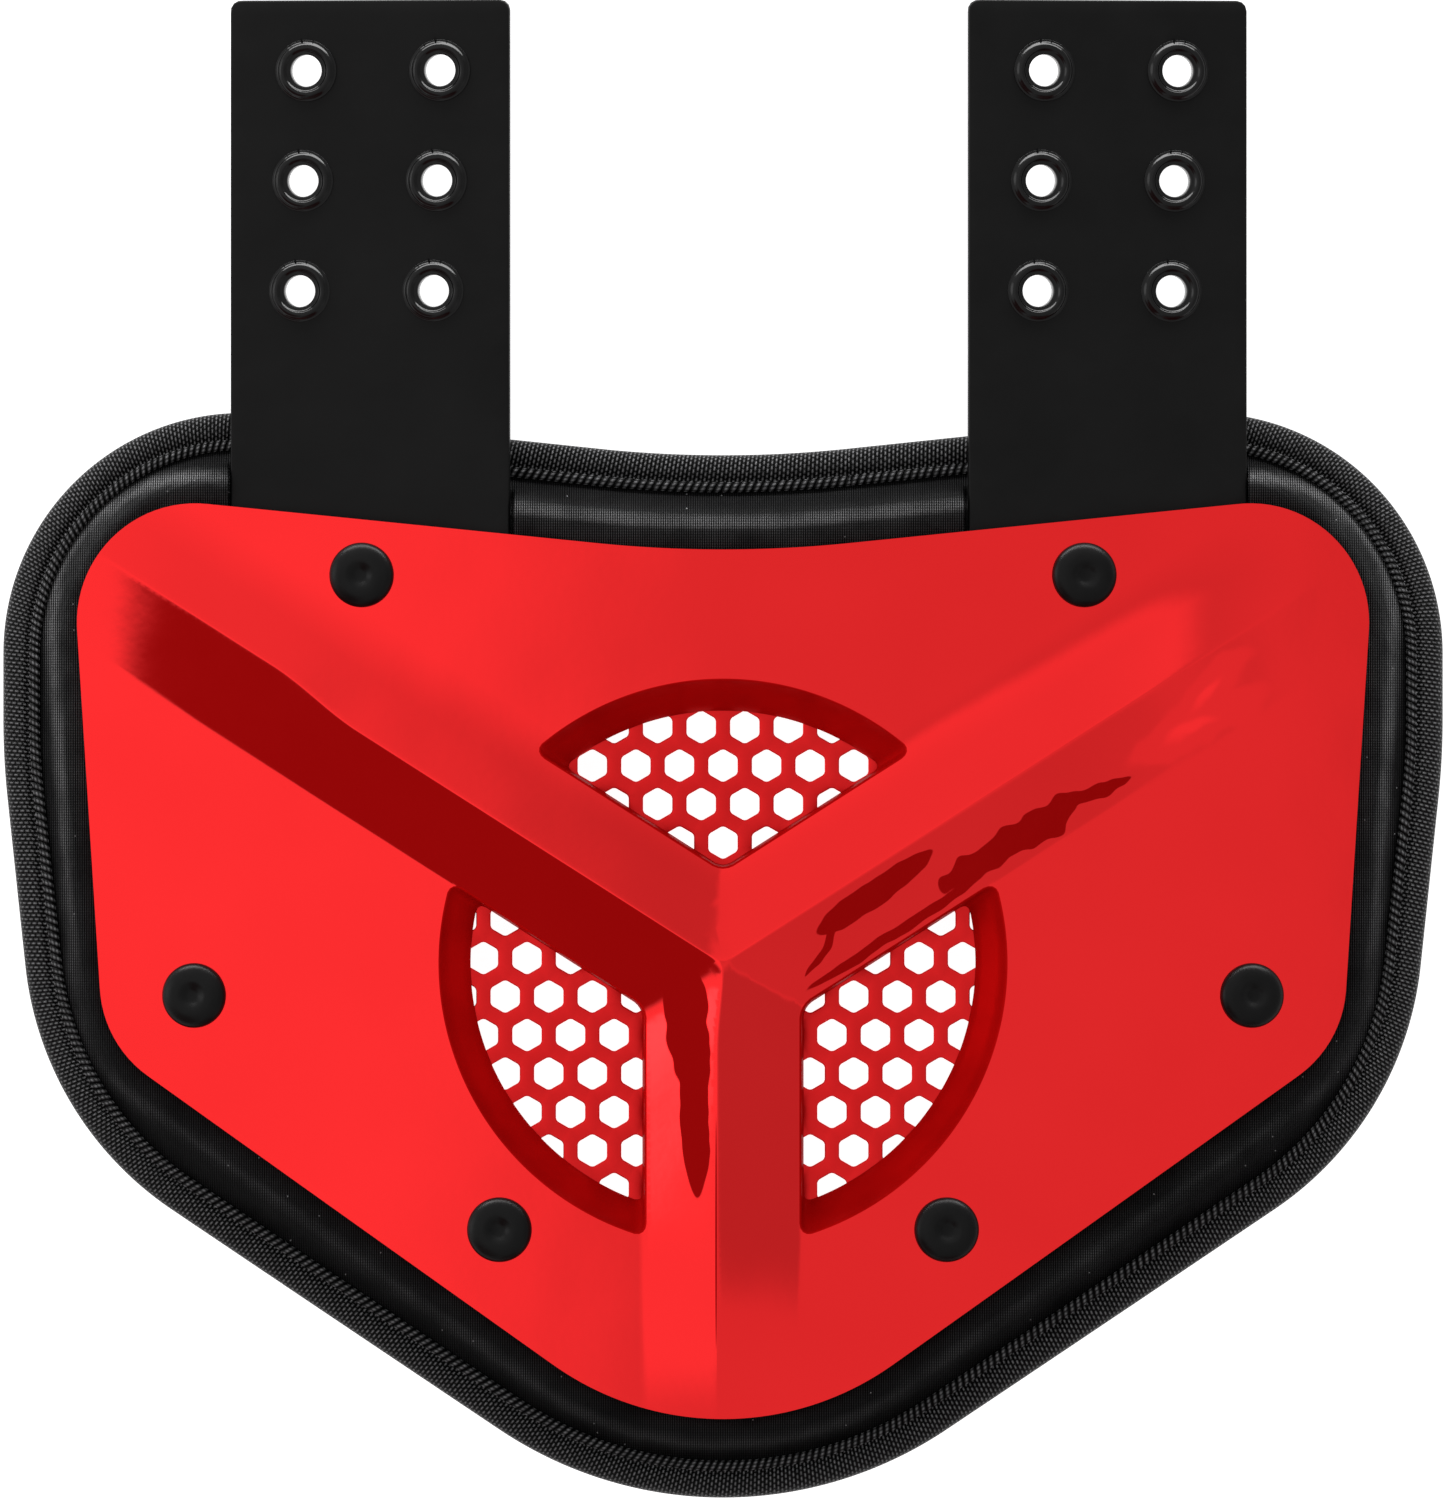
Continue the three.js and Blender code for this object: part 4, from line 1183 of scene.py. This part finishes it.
def make_pad(material):
    skin = Skin()
    pad_loop = pad_outline(2)
    dense_pad = pad_outline(1).points
    dense_plate = outline(PLATE_ROWS, PLATE_WIDTH, PLATE_HEIGHT, 1)
    vent = circle(0, 0, VENT_RADIUS, 150)
    flange = TAPE_THICKNESS + GAP
    loops = [pad_loop.inset(flange), vent, *[shank.points for shank in shank_holes(SHANK_POINTS)]]

    # Lines along the straps' sides, a step apart, so that their channels are crisp
    lines = []
    for strap in STRAPS:
        for side in (-1, 1):
            x = strap["x"] + side * (STRAP_WIDTH / 2 + GAP)
            low = strap["foot"] - 1
            for shift in (0, CHANNEL_STEP * side):
                column = np.arange(low, pad_height / 2 + 5, 1.5)
                line = np.stack([np.full(len(column), x + shift), column], axis=1)
                lines.append(spread(line, loops, loops, 0.5))
    rows = [pad_loop.inset(TAPE_WIDTH + extra) for extra in (-4, -1, 0, *np.arange(0.9, 16, 1.3))]
    fine = spread(np.concatenate(rows), loops, [*loops, *lines], 0.6)
    foam_grid = grid(6, pad_width / 2, pad_height / 2)
    coarse = spread(foam_grid, loops, [*loops, *lines, fine], 3)
    places, triangles, rings = triangulate(loops, np.concatenate([fine, coarse]), lines)
    levels = foam_level(places, dense_pad, dense_plate)
    for strap in STRAPS:
        reach = STRAP_WIDTH / 2 + GAP + 0.1
        below = (np.abs(places[:, 0] - strap["x"]) < reach) & (places[:, 1] > strap["foot"] - 1)
        pressed = strap_under(places[:, 0], strap) - GAP
        levels = np.where(below, np.minimum(levels, pressed), levels)
    # Painted sheen on the knit: paler along the rim's crest, lifted between it and the plate, weaker
    # lower down the pad
    outside = np.sqrt(nearest_squared(places, dense_plate))
    top_painted_sheen = np.exp(-((outside - SHEEN_OFFSET) / SHEEN_WIDTH) ** 2)
    top_painted_sheen = np.maximum(top_painted_sheen, SHEEN_NEAR * (outside < SHEEN_OFFSET))
    top_painted_sheen *= SHEEN_LOW + (1 - SHEEN_LOW) * smooth_step(places[:, 1], -20, 80)
    top = skin.lay(places, levels + arch(places[:, 0]))
    skin.triangles(top, triangles)
    top_rings = [top[ring] for ring in rings]

    # The back
    seats = [circle(rivet["x"] + math.sin(math.atan(rivet["slope"])) * rivet["depth"],
                    rivet["y"], RIVET_FOOT / 2 + GAP, 2 * SHANK_POINTS) for rivet in RIVETS]
    back_loops = [pad_loop.inset(TAPE_WIDTH + 2), vent, *seats]
    coarse = spread(foam_grid, back_loops, back_loops, 2)
    places, triangles, rings = triangulate(back_loops, coarse)
    back = skin.lay(places, arch(places[:, 0]))
    skin.triangles(back, triangles)
    back_rings = [back[ring] for ring in rings]

    ring = top_rings[0]
    for inset, level in ((flange, FLANGE_BOTTOM), (TAPE_WIDTH + 2 * GAP, FLANGE_BOTTOM)):
        points = pad_loop.inset(inset)
        ring = skin.follow(ring, points, level + arch(points[:, 0]))
    skin.band(ring, back_rings[0])
    skin.band(top_rings[1], back_rings[1])
    ceiling = RIVET_FOOT_THICKNESS + 2 * GAP
    for rivet, upper, lower in zip(RIVETS, top_rings[2:], back_rings[2:]):
        x = rivet["x"] + math.sin(math.atan(rivet["slope"])) * (rivet["depth"] - ceiling)
        points = circle(x, rivet["y"], SHANK_RADIUS, SHANK_POINTS)
        inner = skin.follow(upper, points, ceiling + arch(points[:, 0]))
        wide = circle(x, rivet["y"], RIVET_FOOT / 2 + GAP, 2 * SHANK_POINTS)
        outer = skin.lay(wide, ceiling + arch(wide[:, 0]))
        for i in range(SHANK_POINTS):
            near, after = inner[i], inner[(i + 1) % SHANK_POINTS]
            a, b, c = (outer[(2 * i + k) % (2 * SHANK_POINTS)] for k in range(3))
            for face in ((near, a, b), (near, b, after), (b, c, after)):
                skin.cap(face)
        skin.band(outer, lower)
    pad = make_piece("back_pad_knit", skin, material)
    # The painted sheen is stored on the front's points for the knit's colour
    stretch = np.zeros(len(skin.points))
    stretch[:len(top)] = top_painted_sheen
    layer = pad.data.attributes.new("stretch", "FLOAT", "POINT")
    layer.data.foreach_set("value", stretch)
    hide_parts("back_pad")


# Edge binding

# The tape's section from its front inner edge over the fold to its back inner edge. Inset from
# the pad's outline, and height over the front or depth under the back
TAPE_FRONT_ROWS = (
    (8.5, 0.05), (8.45, 0.55), (8.1, 0.95), (7.4, 1.15), (6.7, 1.1), (6.2, 0.8), (5.85, 0.42),
    (5.5, 0.5), (5.1, 0.95), (4.3, 1.25), (3.3, 1.32), (2.3, 1.15), (1.4, 0.75), (0.7, 0),
    (0.25, -1),
)
TAPE_BACK_ROWS = ((0, 2.6), (0.15, 1.7), (0.6, 0.8), (1.3, 0.25), (2.4, 0.02), (5, 0), (8.2, 0))


# Step of the points along the tape, and the roped hem that stands on its front
TAPE_STEP = 0.55
HEM_ROPE = 1.75
HEM_RISE = 0.22
HEM_SINK = 0.1
SEAM = 10


def make_binding(material):
    skin = Skin()
    loop = pad_outline(TAPE_STEP)
    rows = [(inset, TAPE_FRONT + height) for inset, height in TAPE_FRONT_ROWS]
    rows += list(TAPE_BACK_ROWS)
    rows = [tuple(row) for row in rounded_rows(rows, 2)]
    rows += [(8.5, 0.3), (8.5, 0.9), (TAPE_THICKNESS + 0.1, TAPE_THICKNESS + 0.1),
             (TAPE_THICKNESS + 0.1, TAPE_FRONT), (8.3, TAPE_FRONT)]
    count = len(loop.points)
    run = np.arange(count) * TAPE_STEP
    rings = []
    for inset, level in rows:
        points = loop.inset(inset)
        levels = np.full(count, float(level))
        if 5.9 < inset < 8.5 and level > TAPE_FRONT + 0.3:
            levels += HEM_RISE * np.abs(np.sin(math.pi * run / HEM_ROPE)) - HEM_SINK
        rings.append(skin.lay(points, levels + arch(points[:, 0])))
    for near, far in zip(rings, rings[1:] + rings[:1]):
        skin.band(near, far)
    binding = make_piece("edge_binding_tape", skin, material)
    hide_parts("edge_binding")

    # Lengths along and across the tape, for its weave
    widths = [0.0]
    for (a, b), (c, d) in zip(rows, rows[1:]):
        widths.append(widths[-1] + math.hypot(c - a, d - b))
    layer = binding.data.uv_layers.new(name="tape")
    across = np.repeat(widths, count)
    along = np.tile(run, len(rows))
    for polygon in binding.data.polygons:
        corners = [binding.data.loops[i].vertex_index for i in polygon.loop_indices]
        wraps = max(along[i] for i in corners) - min(along[i] for i in corners) > SEAM
        closes = max(across[i] for i in corners) - min(across[i] for i in corners) > SEAM
        for loop_index, corner in zip(polygon.loop_indices, corners):
            u = along[corner] + (count * TAPE_STEP if wraps and along[corner] < SEAM else 0)
            v = across[corner] + (widths[-1] + 1 if closes and across[corner] < SEAM else 0)
            layer.data[loop_index].uv = (u, v)


make_face_plate(rippled(finish("red_gloss")), finish("red_shade"))
make_grille(finish("red_mesh"))
strap_finish = finish("strap_plastic")
eyelet_finish = finish("eyelet_black")
for strap in STRAPS:
    make_strap(strap, strap_finish)
    for number, (x, y) in enumerate(eyelet_places(strap), 1):
        make_eyelet(f"eyelet_{strap['side']}_{number}", x, y, strap, eyelet_finish)
rivet_finish = finish("rivet_black")
for rivet in RIVETS:
    make_rivet(rivet, rivet_finish)
make_pad(knit_fabric())
make_binding(tape_weave())


# Studio

def make_floor():
    size = 4.0
    corners = [(-size, -size, 0), (size, -size, 0), (size, size, 0), (-size, size, 0)]
    mesh = bpy.data.meshes.new("floor")
    mesh.from_pydata(corners, [], [(0, 1, 2, 3)])
    mesh.materials.append(finish("pale_floor"))
    floor = add_object("floor", mesh)
    floor.location.z = -0.0002


def softbox(name, place, aim, width, height, brightness, lit=()):
    """A soft panel lamp. Brightness is its radiance, seen from the front. Where pieces are given,
    it lights only them, and they mirror it."""
    light = bpy.data.lights.new(name, "AREA")
    light.shape = "RECTANGLE"
    light.size, light.size_y = width, height
    light.energy = brightness * math.pi * width * height
    lamp = add_object(name, light)
    lamp.location = place
    lamp.rotation_euler = (Vector(aim) - Vector(place)).to_track_quat("-Z", "Y").to_euler()
    lamp.visible_camera = False
    lamp.visible_glossy = bool(lit)
    if lit:
        receivers = bpy.data.collections.new(name + "_receivers")
        for piece in lit:
            receivers.objects.link(piece)
        lamp.light_linking.receiver_collection = receivers


make_floor()
softbox("overhead", (-0.2, 0.5, 1.4), (0, 0, 0), 1.8, 1.5, 0.3)
BLACK = ("strap_", "eyelet_", "rivet_", "back_pad_", "edge_binding_")
black_pieces = [piece for piece in bpy.context.scene.objects
                if piece.type == "MESH" and piece.name.startswith(BLACK)]
softbox("strip", (0, 1.2, 0.21), (0, 0.1, 0.03), 2.4, 0.38, 17, black_pieces)

# The room that the gloss mirrors is pale above, brighter from a little left of it and darker
# towards its top. Panels stand round it: the direction of each, the angles from it where it ends
# and where it is full, and what it adds to the light. Where little is left, the light is red
ROOM = 0.82
ROOM_LEFT = 0.31
ROOM_LEFT_FULL = 0.28
ROOM_LEAN = 0.57
ROOM_UP = -0.25
PANELS = (
    ((-0.57, -0.64, 0.52), 27, 18, -0.8),
    ((0.1, -0.99, 0.1), 31, 23, -0.42),
    ((0.87, 0, 0.5), 33, 14, -0.25),
    ((0.42, -0.75, 0.5), 26, 12, -0.14),
    ((-0.95, 0.1, 0.3), 18, 8, 2),
)
DARKEST = 0.05
DARK_TINT = (1, 0.22, 0.22)
TINT_RANGE = (0.32, 0.5)


def make_room():
    world = bpy.data.worlds.new("studio")
    graph = Graph(world)
    maths = graph.maths
    way = graph.place("Generated")

    def facing(direction):
        ends = {0: way, 1: Vector(direction).normalized()}
        return graph.add("ShaderNodeVectorMath", ends, "Value", operation="DOT_PRODUCT")

    up = maths("MAXIMUM", facing((0, 1, 0)), 0.0)
    left = maths("MULTIPLY_ADD", up, ROOM_LEAN, facing((-1, 0, 0)))
    left = graph.between(left, 0, ROOM_LEFT_FULL, (ROOM, ROOM + ROOM_LEFT),
                         interpolation_type="SMOOTHSTEP")
    total = maths("MULTIPLY_ADD", up, ROOM_UP, left)
    for middle, *angles, adds in PANELS:
        start, full = (math.cos(math.radians(angle)) for angle in angles)
        part = graph.between(facing(middle), start, full, (0, adds),
                             interpolation_type="SMOOTHSTEP")
        total = maths("ADD", total, part)
    background = graph.nodes["Background"].inputs
    graph.put(background["Strength"], maths("MAXIMUM", total, DARKEST))
    paleness = graph.between(total, *TINT_RANGE)
    graph.put(background["Color"], graph.colours(paleness, DARK_TINT, (1, 1, 1)))
    bpy.context.scene.world = world


make_room()
bpy.context.scene.view_settings.view_transform = "Standard"

# The camera looks straight down from far off, so that the frame is the photograph's
FRAME_HEIGHT = 340.2
FRAME_MIDDLE = (0.34, -0.55)
CAMERA_HEIGHT = 6.0
SENSOR = 36.0
camera_data = bpy.data.cameras.new("camera")
camera_data.sensor_width = SENSOR
camera_data.lens = SENSOR * (CAMERA_HEIGHT - 0.03) / (FRAME_HEIGHT * MM)
camera_data.clip_end = 20
camera = add_object("camera", camera_data)
camera.location = (FRAME_MIDDLE[0] * MM, FRAME_MIDDLE[1] * MM, CAMERA_HEIGHT)
bpy.context.scene.camera = camera
